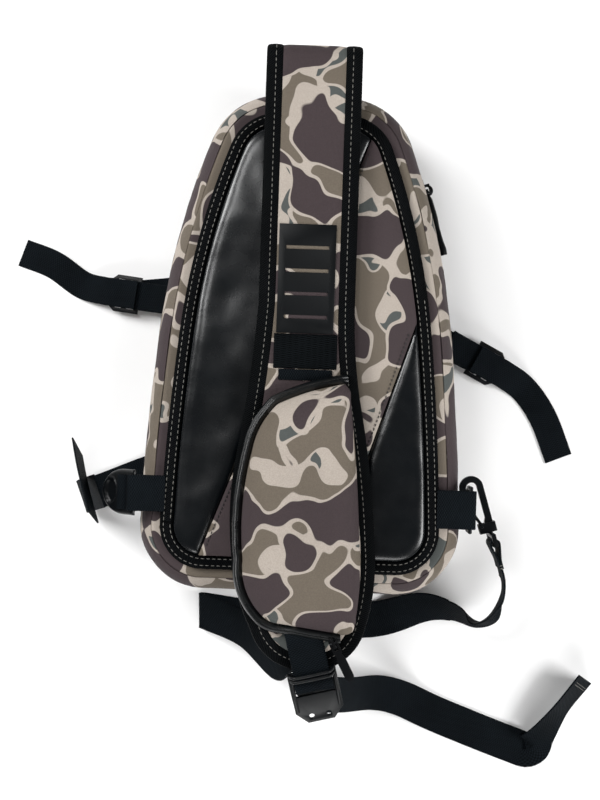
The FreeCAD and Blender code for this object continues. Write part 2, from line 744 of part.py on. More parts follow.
def make_hook():
    """Moulded snap hook closed by a sprung gate, turning on the eye that holds the webbing.

    Local Y runs back along the shank from the eye to the bight, whose centre is the origin.
    """
    place = Placement(HOOK_CENTRE, Rotation(Vector(0, 0, 1), HOOK_YAW))
    inner, outer = 4.6, 10.0
    tip = math.radians(203.0)
    slot_edge, slot_foot, slot_top = 3.2, -37.2, -17.0
    shank_foot, throat_foot, throat_edge = -37.4, -30.0, -27.0
    chamfer, heel = 8.2, -2.6

    def at(radius, angle):
        return flat(radius * math.cos(angle), radius * math.sin(angle))

    hook = new_body("snap_hook")
    curves = [
        arc(at(outer, tip), at(outer, math.pi / 2), flat(outer, 0)),
        line(flat(outer, 0), flat(outer, shank_foot)),
        line(flat(outer, shank_foot), flat(chamfer, -HOOK_FOOT)),
        line(flat(chamfer, -HOOK_FOOT), flat(0, -HOOK_FOOT)),
        line(flat(0, -HOOK_FOOT), flat(heel, slot_foot)),
        line(flat(heel, slot_foot), flat(slot_edge, slot_foot)),
        line(flat(slot_edge, slot_foot), flat(slot_edge, throat_foot)),
        line(flat(slot_edge, throat_foot), flat(inner, throat_edge)),
        line(flat(inner, throat_edge), flat(inner, 0)),
        arc(flat(inner, 0), at(inner, math.pi / 2), at(inner, tip)),
        line(at(inner, tip), at(outer, tip)),
    ]
    pad(hook, [curves], "Sizes.hook_thick", midplane=True)
    pad(hook, [rectangle(*HOUSING)], "Sizes.hook_housing_thick", midplane=True)
    pocket(hook, [rectangle(SLOT_LEFT, slot_foot, slot_edge, slot_top)], "Sizes.gate_slot")
    pocket(hook, [full_circle(flat(*GATE_PIN), size("gate_pin_radius"))], THROUGH)
    shank = [full_circle(flat(SWIVEL_X, 0), size("swivel_bore_radius"))]
    pocket(hook, shank, str(SWIVEL_BORE_DEPTH * 2), role="XZ_Plane", lift=HOOK_FOOT)
    hook.Placement = place

    pin = add(document.addObject("Part::Cylinder", "gate_pin"), "gate_pin")
    pin.setExpression("Radius", "Sizes.gate_pin_radius")
    pin.setExpression("Height", "Sizes.hook_housing_thick")
    pin_place = Placement(Vector(*GATE_PIN, -size("hook_housing_thick") / 2), Rotation())
    pin.Placement = place.multiply(pin_place)

    gate = new_body("snap_hook_gate")
    pad(gate, [polygon(GATE_ROOT + GATE_BLADE)], "Sizes.gate_thick", midplane=True)
    pocket(gate, [full_circle(flat(*GATE_PIN), size("gate_bore_radius"))], THROUGH)
    gate.Placement = place

    eye = new_body("hook_swivel_eye")
    outside = rectangle(EYE_OUTER_FOOT, -EYE_OUTER_HALF, EYE_OUTER_TOP, EYE_OUTER_HALF)
    inside = rectangle(EYE_INNER_FOOT, -EYE_INNER_HALF, EYE_INNER_TOP, EYE_INNER_HALF)
    pad(eye, [outside, inside], EYE_THICK, midplane=True, role="YZ_Plane")
    neck = [full_circle(flat(0, 0), size("swivel_pin_radius"))]
    neck_start = HOOK_FOOT - SWIVEL_BORE_DEPTH + 1.0
    pad(eye, neck, str(SWIVEL_BORE_DEPTH - 0.5), role="XZ_Plane", lift=neck_start)
    eye.Placement = place.multiply(Placement(Vector(SWIVEL_X, 0, 0), Rotation()))

    bar = place.multVec(Vector(SWIVEL_X, EYE_BAR, 0))
    upright = Rotation(Vector(0, 0, 1), HOOK_YAW + 180.0).multiply(Rotation(Vector(0, 1, 0), 90.0))
    webbing_loop("hook_webbing_end", size("webbing_wide") - 2, HOOK_LOOP_LENGTH, bar, upright)


# Webbing lying loose: each station is a centre and the direction of the webbing's width.
LEVEL = None
ON_EDGE = (0, 0, 1)
FLOOR = 1.2
SLING_RUN = [
    ((171.4, -190.0, 88.0), ON_EDGE),
    ((172.2, -195.0, 87.9), ON_EDGE),
    ((173.0, -202.0, 84.0), (-0.05, 0.05, 1)),
    ((173.0, -211.0, 73.0), (-0.1, 0.1, 1)),
    ((170.0, -226.0, 53.0), (-0.2, 0.15, 1)),
    ((164.3, -237.8, 38.0), (-0.15, 0.25, 1)),
    ((153.5, -237.6, 25.0), (0.05, 0.42, 1)),
    ((136.7, -232.0, 14.5), (0.1, 0.75, 1)),
    ((111.3, -230.9, 9.2), (0.05, 1, 0.55)),
    ((73.6, -243.2, FLOOR), LEVEL),
    ((29.5, -246.0, FLOOR), LEVEL),
]
SLING_LOOP = [
    ((27.0, -246.0, FLOOR), LEVEL),
    ((-30.0, -247.0, FLOOR), LEVEL),
    ((-74.0, -242.0, FLOOR), LEVEL),
    ((-86.0, -240.5, 5.0), (-0.15, 1, 0)),
    ((-80.0, -242.0, 10.0), (-0.15, 1, 0)),
    ((-44.0, -252.0, 34.0), (0.15, 1, 0)),
    ((-12.0, -270.0, 84.0), (0.5, 1, 0)),
]
STRAP_TAIL = [
    ((26.0, -294.0, 98.0), (0.45, 1, 0)),
    ((46.0, -300.0, 66.0), (0.3, 1, 0)),
    ((72.0, -305.0, 26.0), (0.25, 1, 0)),
    ((96.0, -313.0, 6.5), LEVEL),
    ((130.0, -328.0, FLOOR), LEVEL),
    ((196.0, -352.0, FLOOR), LEVEL),
    ((212.0, -355.0, 4.5), (0.2, 1, 0.15)),
    ((222.0, -342.0, 10.0), (-0.6, 0.5, 0.5)),
    ((238.0, -317.0, 14.0), (-0.5, 0.36, 0.8)),
    ((259.0, -289.0, 14.5), (-0.5, 0.36, 0.8)),
]
STABILISER_RUN = [
    ((-118.0, -112.0, 7.0), LEVEL),
    ((-140.0, -120.0, FLOOR), LEVEL),
    ((-171.0, -133.0, FLOOR), LEVEL),
]
STABILISER_RETURN = [
    ((-173.0, -134.0, FLOOR), LEVEL),
    ((-188.0, -140.0, 2.2), LEVEL),
    ((-194.0, -142.0, 9.0), LEVEL),
    ((-191.0, -140.0, 22.0), LEVEL),
    ((-171.0, -132.0, 74.0), LEVEL),
]
STABILISER_TAIL = [
    ((-173.0, -153.0, 92.0), ON_EDGE),
    ((-179.0, -138.0, 84.0), ON_EDGE),
    ((-187.0, -117.0, 70.0), ON_EDGE),
    ((-194.0, -96.0, 54.0), ON_EDGE),
]
LEFT_SIDE_TAIL = [
    ((-185.5, 40.0, 4.0), LEVEL),
    ((-202.0, 48.0, FLOOR), LEVEL),
    ((-228.0, 65.0, FLOOR), LEVEL),
    ((-256.0, 75.0, FLOOR), LEVEL),
]
LEFT_SIDE_STRAP = [
    ((-116.0, 45.0, 7.0), LEVEL),
    ((-130.0, 43.5, FLOOR), LEVEL),
    ((-160.0, 40.0, FLOOR), LEVEL),
]
RIGHT_SIDE_TAIL = [
    ((181.5, -21.5, 4.0), LEVEL),
    ((198.0, -33.0, FLOOR), LEVEL),
    ((216.0, -58.0, FLOOR), LEVEL),
    ((231.0, -94.0, FLOOR), LEVEL),
]
RIGHT_SIDE_STRAP = [
    ((115.0, 12.0, 7.0), LEVEL),
    ((128.0, 5.0, FLOOR), LEVEL),
    ((158.0, -9.5, FLOOR), LEVEL),
]


def make_loose_webbing():
    wide, narrow = size("webbing_wide"), size("webbing_narrow")
    for label, stations, width in (
        ("sling_webbing_run", SLING_RUN, wide),
        ("sling_webbing_loop", SLING_LOOP, wide),
        ("strap_tail", STRAP_TAIL, wide),
        ("stabiliser_strap", STABILISER_RUN, wide - 2),
        ("stabiliser_return", STABILISER_RETURN, wide - 2),
        ("stabiliser_tail", STABILISER_TAIL, wide - 2),
        ("left_side_strap", LEFT_SIDE_STRAP, narrow),
        ("left_side_tail", LEFT_SIDE_TAIL, narrow),
        ("right_side_strap", RIGHT_SIDE_STRAP, narrow),
        ("right_side_tail", RIGHT_SIDE_TAIL, narrow),
    ):
        ribbon(label, stations, width)


def check_and_write():
    document.recompute()
    bad = [item.Label for item in document.Objects if {"Invalid", "Error"} & set(item.State)]
    for item in sub_parts:
        if item.Shape.isNull() or not item.Shape.isValid():
            bad.append(item.Label)
    if bad:
        raise RuntimeError("failed objects: " + ", ".join(sorted(set(bad))))
    os.makedirs("parts", exist_ok=True)
    for item in sub_parts:
        item.Shape.exportStep(f"parts/{item.Label}.step")
    print(len(sub_parts), "sub-parts written")


make_body_shell()
make_back_pads()
make_front_pocket()
make_main_zipper()
make_main_slider()
make_strap_root()
make_strap()
make_strap_pocket()
make_pocket_slider()
make_locks_and_loops()
make_ring()
make_hook()
make_loose_webbing()
check_and_write()
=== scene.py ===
"""Looks of the sling bag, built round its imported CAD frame.

Metres, +Z up, +Y towards the top of the bag. The bag lies on its front, with the padded back upwards.
"""

import json
import math

import bpy
import bmesh
import numpy as np
from mathutils import Matrix, Vector, geometry, noise


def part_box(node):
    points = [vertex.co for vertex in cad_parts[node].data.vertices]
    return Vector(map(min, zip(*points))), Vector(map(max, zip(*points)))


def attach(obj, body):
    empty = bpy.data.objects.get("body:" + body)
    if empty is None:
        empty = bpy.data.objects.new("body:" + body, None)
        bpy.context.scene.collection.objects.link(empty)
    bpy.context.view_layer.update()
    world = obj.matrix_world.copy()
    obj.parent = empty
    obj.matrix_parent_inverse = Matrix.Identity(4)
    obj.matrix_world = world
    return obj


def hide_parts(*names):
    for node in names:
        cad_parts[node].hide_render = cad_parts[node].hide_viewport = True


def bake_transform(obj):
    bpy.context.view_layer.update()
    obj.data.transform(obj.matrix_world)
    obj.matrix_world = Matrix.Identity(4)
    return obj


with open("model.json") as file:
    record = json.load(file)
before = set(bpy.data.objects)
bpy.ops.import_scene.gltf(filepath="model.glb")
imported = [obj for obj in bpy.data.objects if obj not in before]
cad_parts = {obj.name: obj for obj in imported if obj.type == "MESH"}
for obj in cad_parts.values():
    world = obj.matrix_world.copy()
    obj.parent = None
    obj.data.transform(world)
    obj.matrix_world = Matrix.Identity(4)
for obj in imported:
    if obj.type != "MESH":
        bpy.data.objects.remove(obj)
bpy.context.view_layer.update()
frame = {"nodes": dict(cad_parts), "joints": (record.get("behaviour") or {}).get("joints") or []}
scene = bpy.context.scene
MM = 0.001


def top(node):
    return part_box(node)[1].z


def bottom(node):
    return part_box(node)[0].z


def heights(node):
    return bottom(node), top(node)


def joint_place(name):
    return Vector(next(joint for joint in frame["joints"] if joint["name"] == name)["pos_m"])


def millimetres(points):
    return np.array(points, float) * MM


# Shader helpers


def shader(name, roughness, shine=0.5, metallic=0.0):
    """A new material and its principled shader. Shine is the strength of its plain reflections."""
    look = bpy.data.materials.new(name)
    look.use_nodes = True
    skin = look.node_tree.nodes["Principled BSDF"]
    skin.inputs["Roughness"].default_value = roughness
    skin.inputs["Specular IOR Level"].default_value = shine
    skin.inputs["Metallic"].default_value = metallic
    return look, skin


def node(look, kind, inputs=None, **fields):
    """A shader node. Inputs are numbers, or the output sockets of other nodes."""
    made = look.node_tree.nodes.new("ShaderNode" + kind)
    for field, value in fields.items():
        setattr(made, field, value)
    for socket, value in (inputs or {}).items():
        if isinstance(value, bpy.types.NodeSocket):
            look.node_tree.links.new(value, made.inputs[socket])
        else:
            made.inputs[socket].default_value = value
    return made


def link(look, output, target):
    look.node_tree.links.new(output, target)


def maths(look, operation, a, b=0.0):
    return node(look, "Math", {0: a, 1: b}, operation=operation).outputs[0]


def mapped(look, value, span):
    return node(look, "MapRange", {"Value": value} | span).outputs[0]


def scaled(look, colour, amount):
    return node(look, "VectorMath", {0: colour, "Scale": amount}, operation="SCALE").outputs["Vector"]


def cloth_place(look):
    """The piece's own cloth coordinates, in metres, which stay with it when it bends."""
    return node(look, "Attribute", attribute_name="cloth").outputs["Vector"]


def grain(look, place, pitch, detail=2.0):
    """Even noise with features about pitch across, from 0 to 1."""
    return node(look, "TexNoise", {"Vector": place, "Scale": 1.0 / pitch, "Detail": detail}).outputs["Fac"]


def waves(look, place, direction, pitch):
    """Sine ridges across a direction, pitch apart, from -1 to 1."""
    turned = node(look, "VectorMath", {0: place, 1: direction}, operation="DOT_PRODUCT").outputs["Value"]
    return maths(look, "SINE", maths(look, "MULTIPLY", turned, 2 * math.pi / pitch))


def bump(look, skin, height, depth, strength=1.0, under=None):
    inputs = {"Height": height, "Distance": depth, "Strength": strength}
    if under:
        inputs["Normal"] = under
    made = node(look, "Bump", inputs).outputs["Normal"]
    link(look, made, skin.inputs["Normal"])
    return made


def shade(look, place, colour, pitch, spread):
    """A colour that varies gently, from 1 - spread to 1 + spread of itself."""
    span = {"From Min": 0.3, "From Max": 0.7, "To Min": 1 - spread, "To Max": 1 + spread}
    return scaled(look, colour, mapped(look, grain(look, place, pitch), span))


# Camouflage: rounded brown, khaki and slate patches on cream, each with a cream margin.
CREAM = (0.365, 0.320, 0.278, 1)
BROWN = (0.041, 0.0290, 0.0312, 1)
KHAKI = (0.120, 0.099, 0.076, 1)
SLATE = (0.064, 0.071, 0.068, 1)
PATCH_SIZE = 37 * MM
MARGIN = 0.042
SOFT_EDGE = 0.0025
# Levels of the noise fields above which each colour starts.
BROWN_LEVEL, KHAKI_LEVEL, SLATE_LEVEL = 0.52, 0.45, 0.50
# Where each colour's noise field lies, and the size of its patches against PATCH_SIZE.
FIELDS = [((0.0, 0.0, 0.0), 1.0), ((3.1, 1.7, 0.4), 0.92), ((7.3, 5.2, 2.6), 0.8)]


def mask(look, field, level):
    """1 where the field is above a level, with a narrow soft edge."""
    span = {"From Min": level - SOFT_EDGE, "From Max": level + SOFT_EDGE}
    return mapped(look, field, span)


def painted(look, under, over, where):
    """One colour over another. Sockets 6 and 7 of a mix node are its two colours."""
    return node(look, "Mix", {"Factor": where, 6: under, 7: over}, data_type="RGBA").outputs[2]


def camouflage(name, weave_pitch, weave_depth, roughness):
    """Printed cloth. The weave's pitch and depth are in millimetres, as with the looks below."""
    look, skin = shader(name, roughness, shine=0.3)
    place = cloth_place(look)
    fields = []
    for shift, size in FIELDS:
        moved = node(look, "VectorMath", {0: place, 1: shift}, operation="ADD").outputs["Vector"]
        inputs = {"Vector": moved, "Scale": 1.0 / (PATCH_SIZE * size), "Detail": 0.6, "Distortion": 0.35}
        fields.append(node(look, "TexNoise", inputs).outputs["Fac"])
    brown, khaki, slate = fields
    not_brown = maths(look, "SUBTRACT", 1.0, mask(look, brown, BROWN_LEVEL - MARGIN))
    not_khaki = maths(look, "SUBTRACT", 1.0, mask(look, khaki, KHAKI_LEVEL - MARGIN))
    khaki_here = maths(look, "MULTIPLY", mask(look, khaki, KHAKI_LEVEL), not_brown)
    clear = maths(look, "MULTIPLY", not_brown, not_khaki)
    slate_here = maths(look, "MULTIPLY", mask(look, slate, SLATE_LEVEL), clear)
    colour = painted(look, CREAM, SLATE, slate_here)
    colour = painted(look, colour, KHAKI, khaki_here)
    colour = painted(look, colour, BROWN, mask(look, brown, BROWN_LEVEL))
    colour = shade(look, place, shade(look, place, colour, 0.9 * MM, 0.10), 60 * MM, 0.05)
    link(look, colour, skin.inputs["Base Color"])
    rows = waves(look, place, (1, 0, 0.7), weave_pitch * MM)
    weave = maths(look, "ADD", rows, waves(look, place, (0, 1, 0.7), weave_pitch * MM))
    cloth = bump(look, skin, weave, weave_depth * MM)
    bump(look, skin, grain(look, place, 1.6 * MM), weave_depth * MM * 2, 0.6, cloth)
    return look


UNEVEN_GLOSS = 0.07


def plain(name, colour, roughness, pitch, depth, shine=0.5, metallic=0.0, folds=0.0):
    """A moulded, coated or metal surface with fine grain, slightly uneven gloss and, if asked, soft folds."""
    look, skin = shader(name, roughness, shine, metallic)
    place = cloth_place(look)
    link(look, shade(look, place, colour, 25 * MM, 0.15), skin.inputs["Base Color"])
    span = {"To Min": roughness - UNEVEN_GLOSS, "To Max": roughness + UNEVEN_GLOSS}
    link(look, mapped(look, grain(look, place, 18 * MM, 4.0), span), skin.inputs["Roughness"])
    creases = bump(look, skin, grain(look, place, 46 * MM, 1.0), folds * MM) if folds else None
    bump(look, skin, grain(look, place, pitch * MM, 3.0), depth * MM, 1.0, creases)
    return look


def ribbed(name, colour, roughness, directions, pitch, depth):
    """Woven tape: ridges along each direction of its own run, with painted shade in their grooves and a
    painted highlight on their crests.
    """
    look, skin = shader(name, roughness, shine=0.03)
    pitch, depth = pitch * MM, depth * MM
    place = cloth_place(look)
    height = waves(look, place, directions[0], pitch)
    for direction in directions[1:]:
        height = maths(look, "MULTIPLY", height, waves(look, place, direction, pitch * 1.7))
    # Painted shade and highlight: the tape's colour goes darker in the grooves between ridges and lighter on
    # their crests.
    span = {"From Min": -1.0, "To Min": 0.2, "To Max": 2.4}
    rib_shade_and_highlight = mapped(look, height, span)
    link(look, scaled(look, shade(look, place, colour, 30 * MM, 0.18), rib_shade_and_highlight), skin.inputs["Base Color"])
    ribs = bump(look, skin, height, depth)
    bump(look, skin, grain(look, place, 0.7 * MM), depth * 0.6, 0.5, ribs)
    return look


CROSSED = [(1, 0, 0), (0, 1, 0)]
SLANTED = [(1, 0.8, 0)]
ACROSS = [(0, 1, 0), (0.3, 0, 0)]
CAMO = camouflage("camouflage_fabric", 0.55, 0.03, 0.78)
CAMO_CANVAS = camouflage("camouflage_canvas", 1.0, 0.06, 0.85)
COATED = plain("black_coated_fabric", (0.0010, 0.0018, 0.0026), 0.27, 0.9, 0.03, shine=0.5, folds=2.4)
PIPING = plain("black_coated_piping", (0.0016, 0.0024, 0.0028), 0.28, 1.2, 0.03, shine=0.6)
PANEL = plain("black_slot_panel", (0.0008, 0.0014, 0.0020), 0.45, 0.6, 0.01, shine=0.2)
WEBBING = ribbed("black_webbing", (0.0027, 0.0039, 0.0051), 0.60, CROSSED, 2.0, 0.22)
BINDING = ribbed("black_binding", (0.0018, 0.0022, 0.0025), 0.66, SLANTED, 1.9, 0.28)
ELASTIC = ribbed("black_elastic", (0.0020, 0.0027, 0.0032), 0.66, ACROSS, 1.8, 0.26)
PLASTIC = plain("black_moulded_plastic", (0.0016, 0.0022, 0.0028), 0.34, 0.5, 0.012, shine=0.2)
METAL = plain("black_ring_metal", (0.020, 0.021, 0.023), 0.30, 0.8, 0.01, metallic=0.9)
ZIPPER = plain("coated_zipper", (0.0016, 0.0022, 0.0027), 0.42, 0.7, 0.03, shine=0.35)
THREAD = plain("light_thread", (0.15, 0.145, 0.13), 0.75, 0.4, 0.05)
DARK_THREAD = plain("dark_thread", (0.012, 0.011, 0.012), 0.7, 0.4, 0.05)
FOAM = plain("foam", (0.02, 0.02, 0.022), 0.9, 1.0, 0.10)
LINING = ribbed("lining_mesh", (0.03, 0.031, 0.033), 0.8, CROSSED, 1.6, 0.15)


# Shape helpers


def unit(vectors):
    return vectors / np.maximum(np.linalg.norm(vectors, axis=-1, keepdims=True), 1e-12)


def outlines(name, level):
    """Closed outlines of a node's flat face at a height, longest first, as (n, 2) arrays."""
    mesh = frame["nodes"][name].data
    spots = [(round(v.co.x, 6), round(v.co.y, 6)) for v in mesh.vertices]
    edges = set()
    for face in mesh.polygons:
        if any(abs(mesh.vertices[i].co.z - level) > 2e-5 for i in face.vertices):
            continue
        corners = [spots[i] for i in face.vertices]
        if face.normal.z < 0:
            corners.reverse()
        edges.update((a, b) for a, b in zip(corners, corners[1:] + corners[:1]) if a != b)
    following = {a: b for a, b in edges if (b, a) not in edges}
    loops = []
    while following:
        start = min(following)
        loop, here = [start], following.pop(start)
        while here != start:
            loop.append(here)
            here = following.pop(here)
        loops.append(np.array(loop))
    return sorted(loops, key=lambda loop: -np.ptp(loop, axis=0).sum())


def top_outline(name, step):
    """Evenly spaced points round the upper face of a node."""
    return resampled(outlines(name, top(name))[0], step)


def lengths(line):
    steps = np.linalg.norm(np.diff(line, axis=0), axis=1)
    return np.concatenate([[0.0], np.cumsum(steps)])


def at_lengths(places, along, line):
    """Points at some lengths of a line, from its own points' lengths."""
    return np.column_stack([np.interp(places, along, line[:, k]) for k in range(line.shape[1])])


def resampled(line, step, closed=True):
    """Points evenly spaced along a line of points."""
    run = np.vstack([line, line[:1]]) if closed else line
    along = lengths(run)
    count = max(int(round(along[-1] / step)), 3)
    at = np.linspace(0, along[-1], count + 1)
    if closed:
        at = at[:-1]
    return at_lengths(at, along, run)


def nearest(line, place):
    return int(np.argmin(np.linalg.norm(line - np.array(place), axis=1)))


def heading(line, closed=True):
    if closed:
        return unit(np.roll(line, -1, axis=0) - np.roll(line, 1, axis=0))
    return unit(np.gradient(line, axis=0))


def inward(loop, closed=True):
    """Unit vectors to the left of the line, which is inwards on an outer outline."""
    ahead = heading(loop, closed)
    return np.column_stack([-ahead[:, 1], ahead[:, 0]])


def inset_loop(loop, inset):
    return resampled(loop + inward(loop) * inset, 2 * MM)


def flat_frame(loop, level, closed=True):
    """Path points, inward sideways vectors and upward vectors of a level line."""
    side = np.column_stack([inward(loop, closed), np.zeros(len(loop))])
    path = np.column_stack([loop, np.full(len(loop), level)])
    return path, side, np.tile([0.0, 0.0, 1.0], (len(loop), 1))


def added(name, data):
    thing = bpy.data.objects.new(name, data)
    scene.collection.objects.link(thing)
    return thing


def make(name, points, faces, look, cloth=None, crease=40.0, bend=None):
    """A mesh piece. Its cloth coordinates are those of its flat or resting shape."""
    points = np.asarray(points, float).reshape(-1, 3)
    cloth = points if cloth is None else cloth
    mesh = bpy.data.meshes.new(name)
    mesh.from_pydata((bend(points) if bend else points).tolist(), [], faces)
    layer = mesh.attributes.new("cloth", "FLOAT_VECTOR", "POINT")
    layer.data.foreach_set("vector", np.asarray(cloth, np.float32).ravel())
    mesh.materials.append(look)
    built = bmesh.new()
    built.from_mesh(mesh)
    bmesh.ops.recalc_face_normals(built, faces=built.faces)
    built.to_mesh(mesh)
    built.free()
    mesh.polygons.foreach_set("use_smooth", [True] * len(mesh.polygons))
    mesh.set_sharp_from_angle(angle=math.radians(crease))
    return added(name, mesh)


def tube_faces(rows, columns, closed):
    """Faces of a tube of rows of points. A tube that isn't closed into a ring gets two end faces."""
    faces = []
    for i in range(rows if closed else rows - 1):
        here, there = i * columns, (i + 1) % rows * columns
        for j in range(columns):
            k = (j + 1) % columns
            faces.append((here + j, here + k, there + k, there + j))
    if not closed:
        faces += [tuple(range(columns)), tuple(range((rows - 1) * columns, rows * columns))]
    return faces


def sweep(name, path, side, up, profile, look, closed=False, bend=None, own_cloth=True, wobble=None):
    """A closed profile of (sideways, upwards) points carried along a path."""
    profile = np.asarray(profile, float)
    shape = np.tile(profile, (len(path), 1, 1)) if profile.ndim == 2 else profile
    points = path[:, None] + side[:, None] * shape[:, :, :1] + up[:, None] * shape[:, :, 1:]
    if wobble:
        points = wobble(points)
    rows, columns = points.shape[:2]
    faces = tube_faces(rows, columns, closed)
    along = lengths(path)[:, None] + np.zeros(columns)
    run = np.stack([along, shape[:, :, 0], shape[:, :, 1]], axis=-1).reshape(-1, 3)
    cloth = run if own_cloth else None
    return make(name, points, faces, look, cloth, bend=bend)


def rounded_bar(width, thick, corner, steps):
    """Rounded rectangle about the origin, as (sideways, upwards) points."""
    points = []
    for k, (sx, sy) in enumerate(((1, 1), (-1, 1), (-1, -1), (1, -1))):
        middle = np.array([sx * (width / 2 - corner), sy * (thick / 2 - corner)])
        for angle in np.linspace(k, k + 1, steps + 1) * math.pi / 2:
            points.append(middle + corner * np.array([math.cos(angle), math.sin(angle)]))
    return np.array(points)


def round_section(sides, radius):
    angle = np.arange(sides) * 2 * math.pi / sides
    return np.column_stack([np.cos(angle), np.sin(angle)]) * radius


def from_edge(points, loop):
    """Distance of each point from an outline."""
    best = np.full(len(points), np.inf)
    for a, b in zip(loop, np.roll(loop, -1, axis=0)):
        along = b - a
        t = np.clip((points - a) @ along / max(along @ along, 1e-18), 0, 1)
        best = np.minimum(best, np.linalg.norm(points - a - t[:, None] * along, axis=1))
    return best


def filled(loop, spacing, rings=()):
    """Triangles over the inside of an outline: (points, distances from it, triangles)."""
    extra = []
    for inset in rings:
        ring = loop + inward(loop) * inset
        extra.append(ring[from_edge(ring, loop) > inset * 0.95])
    clear = (max(rings) if len(rings) else 0.0) + spacing * 0.55
    low, high = loop.min(axis=0), loop.max(axis=0)
    xs = np.arange(low[0], high[0], spacing)
    ys = np.arange(low[1], high[1], spacing * 0.866)
    grid = np.array([(x + (row % 2) * spacing / 2, y) for row, y in enumerate(ys) for x in xs])
    grid = grid[from_edge(grid, loop) > clear]
    cloud = [Vector(p) for p in np.vstack([loop, *extra, grid])]
    edges = [(k, (k + 1) % len(loop)) for k in range(len(loop))]
    flat, _, faces, *_ = geometry.delaunay_2d_cdt(cloud, edges, [], 1, 1e-7)
    flat = np.array([tuple(p) for p in flat])
    return flat, from_edge(flat, loop), [tuple(f) for f in faces]


def rise(distance, reach):
    """From 0 at an edge to 1 once a distance inside it, round like a cushion's shoulder."""
    t = np.clip(distance / reach, 0, 1)
    return np.sqrt(1 - (1 - t) ** 2)


def noise_at(points, pitch, seed):
    """Smooth noise from -1 to 1 at each point. Flat points count as level with Z = 0."""
    shift = Vector((seed * 3.7, seed * 1.3, seed * 5.1))
    return np.array([noise.noise(Vector(p).to_3d() / pitch + shift) for p in points])


def mound(name, loop, base, height, look, spacing=3 * MM, rings=(), bend=None, shift=(0, 0, 0)):
    """A closed soft form: an outline's area, with a flat underside and a shaped top.

    Rings are millimetres inside the outline where its shoulder gets points of its own.
    """
    flat, distance, faces = filled(loop, spacing, millimetres(rings))
    count = len(flat)
    lid = np.column_stack([flat, height(flat, distance)])
    floor = np.column_stack([flat, np.full(count, base)])
    sides = {(a, b): True for face in faces for a, b in zip(face, face[1:] + face[:1])}
    rim = [(a, b) for a, b in sides if (b, a) not in sides]
    faces = faces + [tuple(i + count for i in reversed(face)) for face in faces]
    faces += [(b, a, a + count, b + count) for a, b in rim]
    points = np.vstack([lid, floor])
    return make(name, points, faces, look, points + np.array(shift), bend=bend)


# Slot names for these looks, which differ from the looks' own names.
OTHER_SLOTS = {
    "camouflage_canvas": "camouflage_fabric",
    "black_coated_piping": "coated_zipper",
    "black_slot_panel": "black_coated_fabric",
    "black_elastic": "black_webbing",
    "light_thread": "black_binding",
    "dark_thread": "black_binding",
}


def labelled(piece, nodes, slot=None):
    """Hides the CAD nodes that a piece takes over, and returns the piece."""
    # Blender adds a number to the name of a look that the frame has too.
    look = piece.data.materials[0].name.split(".")[0]
    slot or OTHER_SLOTS.get(look, look)
    if nodes:
        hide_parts(*nodes)
    return piece


def finished(piece, body, *nodes, slot=None):
    """Ties a piece to the one body that carries it."""
    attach(piece, body)
    return labelled(piece, nodes, slot)


def moulded(name, source, look, width, body, segments=2):
    """A copy of a CAD node with its edges rounded, which takes the node's place."""
    built = bmesh.new()
    built.from_mesh(frame["nodes"][source].data)
    bmesh.ops.remove_doubles(built, verts=built.verts, dist=1e-6)
    bmesh.ops.dissolve_limit(built, angle_limit=math.radians(0.5), verts=built.verts, edges=built.edges)
    hard = [e for e in built.edges if len(e.link_faces) == 2 and e.calc_face_angle(0.0) > math.radians(28)]
    bmesh.ops.bevel(
        built, geom=hard, offset=width, segments=segments, profile=0.5, affect="EDGES", clamp_overlap=True
    )
    bmesh.ops.triangulate(built, faces=[f for f in built.faces if len(f.verts) > 4])
    built.verts.index_update()
    points = [tuple(v.co) for v in built.verts]
    faces = [tuple(v.index for v in f.verts) for f in built.faces]
    built.free()
    finished(make(name, points, faces, look, crease=50), body, source)


def stitches(name, path, side, up, look, pitch=4.7 * MM, length=3.1 * MM, thick=0.6 * MM, bend=None):
    """A row of thread dashes lying along a path."""
    along = lengths(path)
    centres = np.arange(pitch / 2, along[-1], pitch)
    spot = at_lengths(centres, along, path)
    across, lift = unit(at_lengths(centres, along, side)), unit(at_lengths(centres, along, up))
    ahead = np.cross(across, lift)
    rings, round_by = 5, 6
    t = np.linspace(-1, 1, rings)
    radius = 0.25 + 0.75 * np.sqrt(1 - np.abs(t) ** 3)
    around = round_section(round_by, thick / 2)
    shape = np.array([(a * length / 2, r * x, r * y) for a, r in zip(t, radius) for x, y in around])
    points = spot[:, None] + ahead[:, None] * shape[None, :, :1]
    points = points + across[:, None] * shape[None, :, 1:2] + lift[:, None] * shape[None, :, 2:]
    one = tube_faces(rings, round_by, False)
    size = rings * round_by
    faces = [tuple(i + k * size for i in face) for k in range(len(spot)) for face in one]
    return make(name, points, faces, look, crease=80, bend=bend)


def stitched(name, line, level, look, closed=True, **sizes):
    """Stitches along a level line on the bag's body."""
    finished(stitches(name, *flat_frame(line, level, closed), look, **sizes), "bag_body")


# Camera, floor and lights
CAMERA_OVER = Vector((-3.0, -49.1, 1350.0)) * MM
CAMERA_TURN = math.radians(1.908)
SENSOR = 36.0
LENS = 67.5
# Each light's name, place, aim, width, height and power. The last puts soft highlights on the black pads.
LIGHTS = [
    ("key", (-1.5, 0.9, 1.25), (-0.05, 0.0, 0.05), 1.0, 0.8, 46),
    ("fill", (1.6, -0.5, 1.2), (0.05, -0.05, 0.05), 1.0, 0.8, 36),
    ("low", (0.0, -1.9, 1.1), (0.0, 0.0, 0.05), 1.6, 0.8, 26),
    ("high", (-0.42, 0.40, 1.35), (-0.03, 0.0, 0.1), 0.4, 0.3, 5),
]
SURROUND_STRENGTH = 0.10
FLOOR_HALF = 4.0


def add_camera():
    camera = bpy.data.cameras.new("camera")
    camera.sensor_fit = "VERTICAL"
    camera.sensor_height = SENSOR
    camera.lens = LENS
    eye = added("camera", camera)
    eye.location = CAMERA_OVER
    eye.rotation_euler = (0, 0, CAMERA_TURN)
    scene.camera = eye


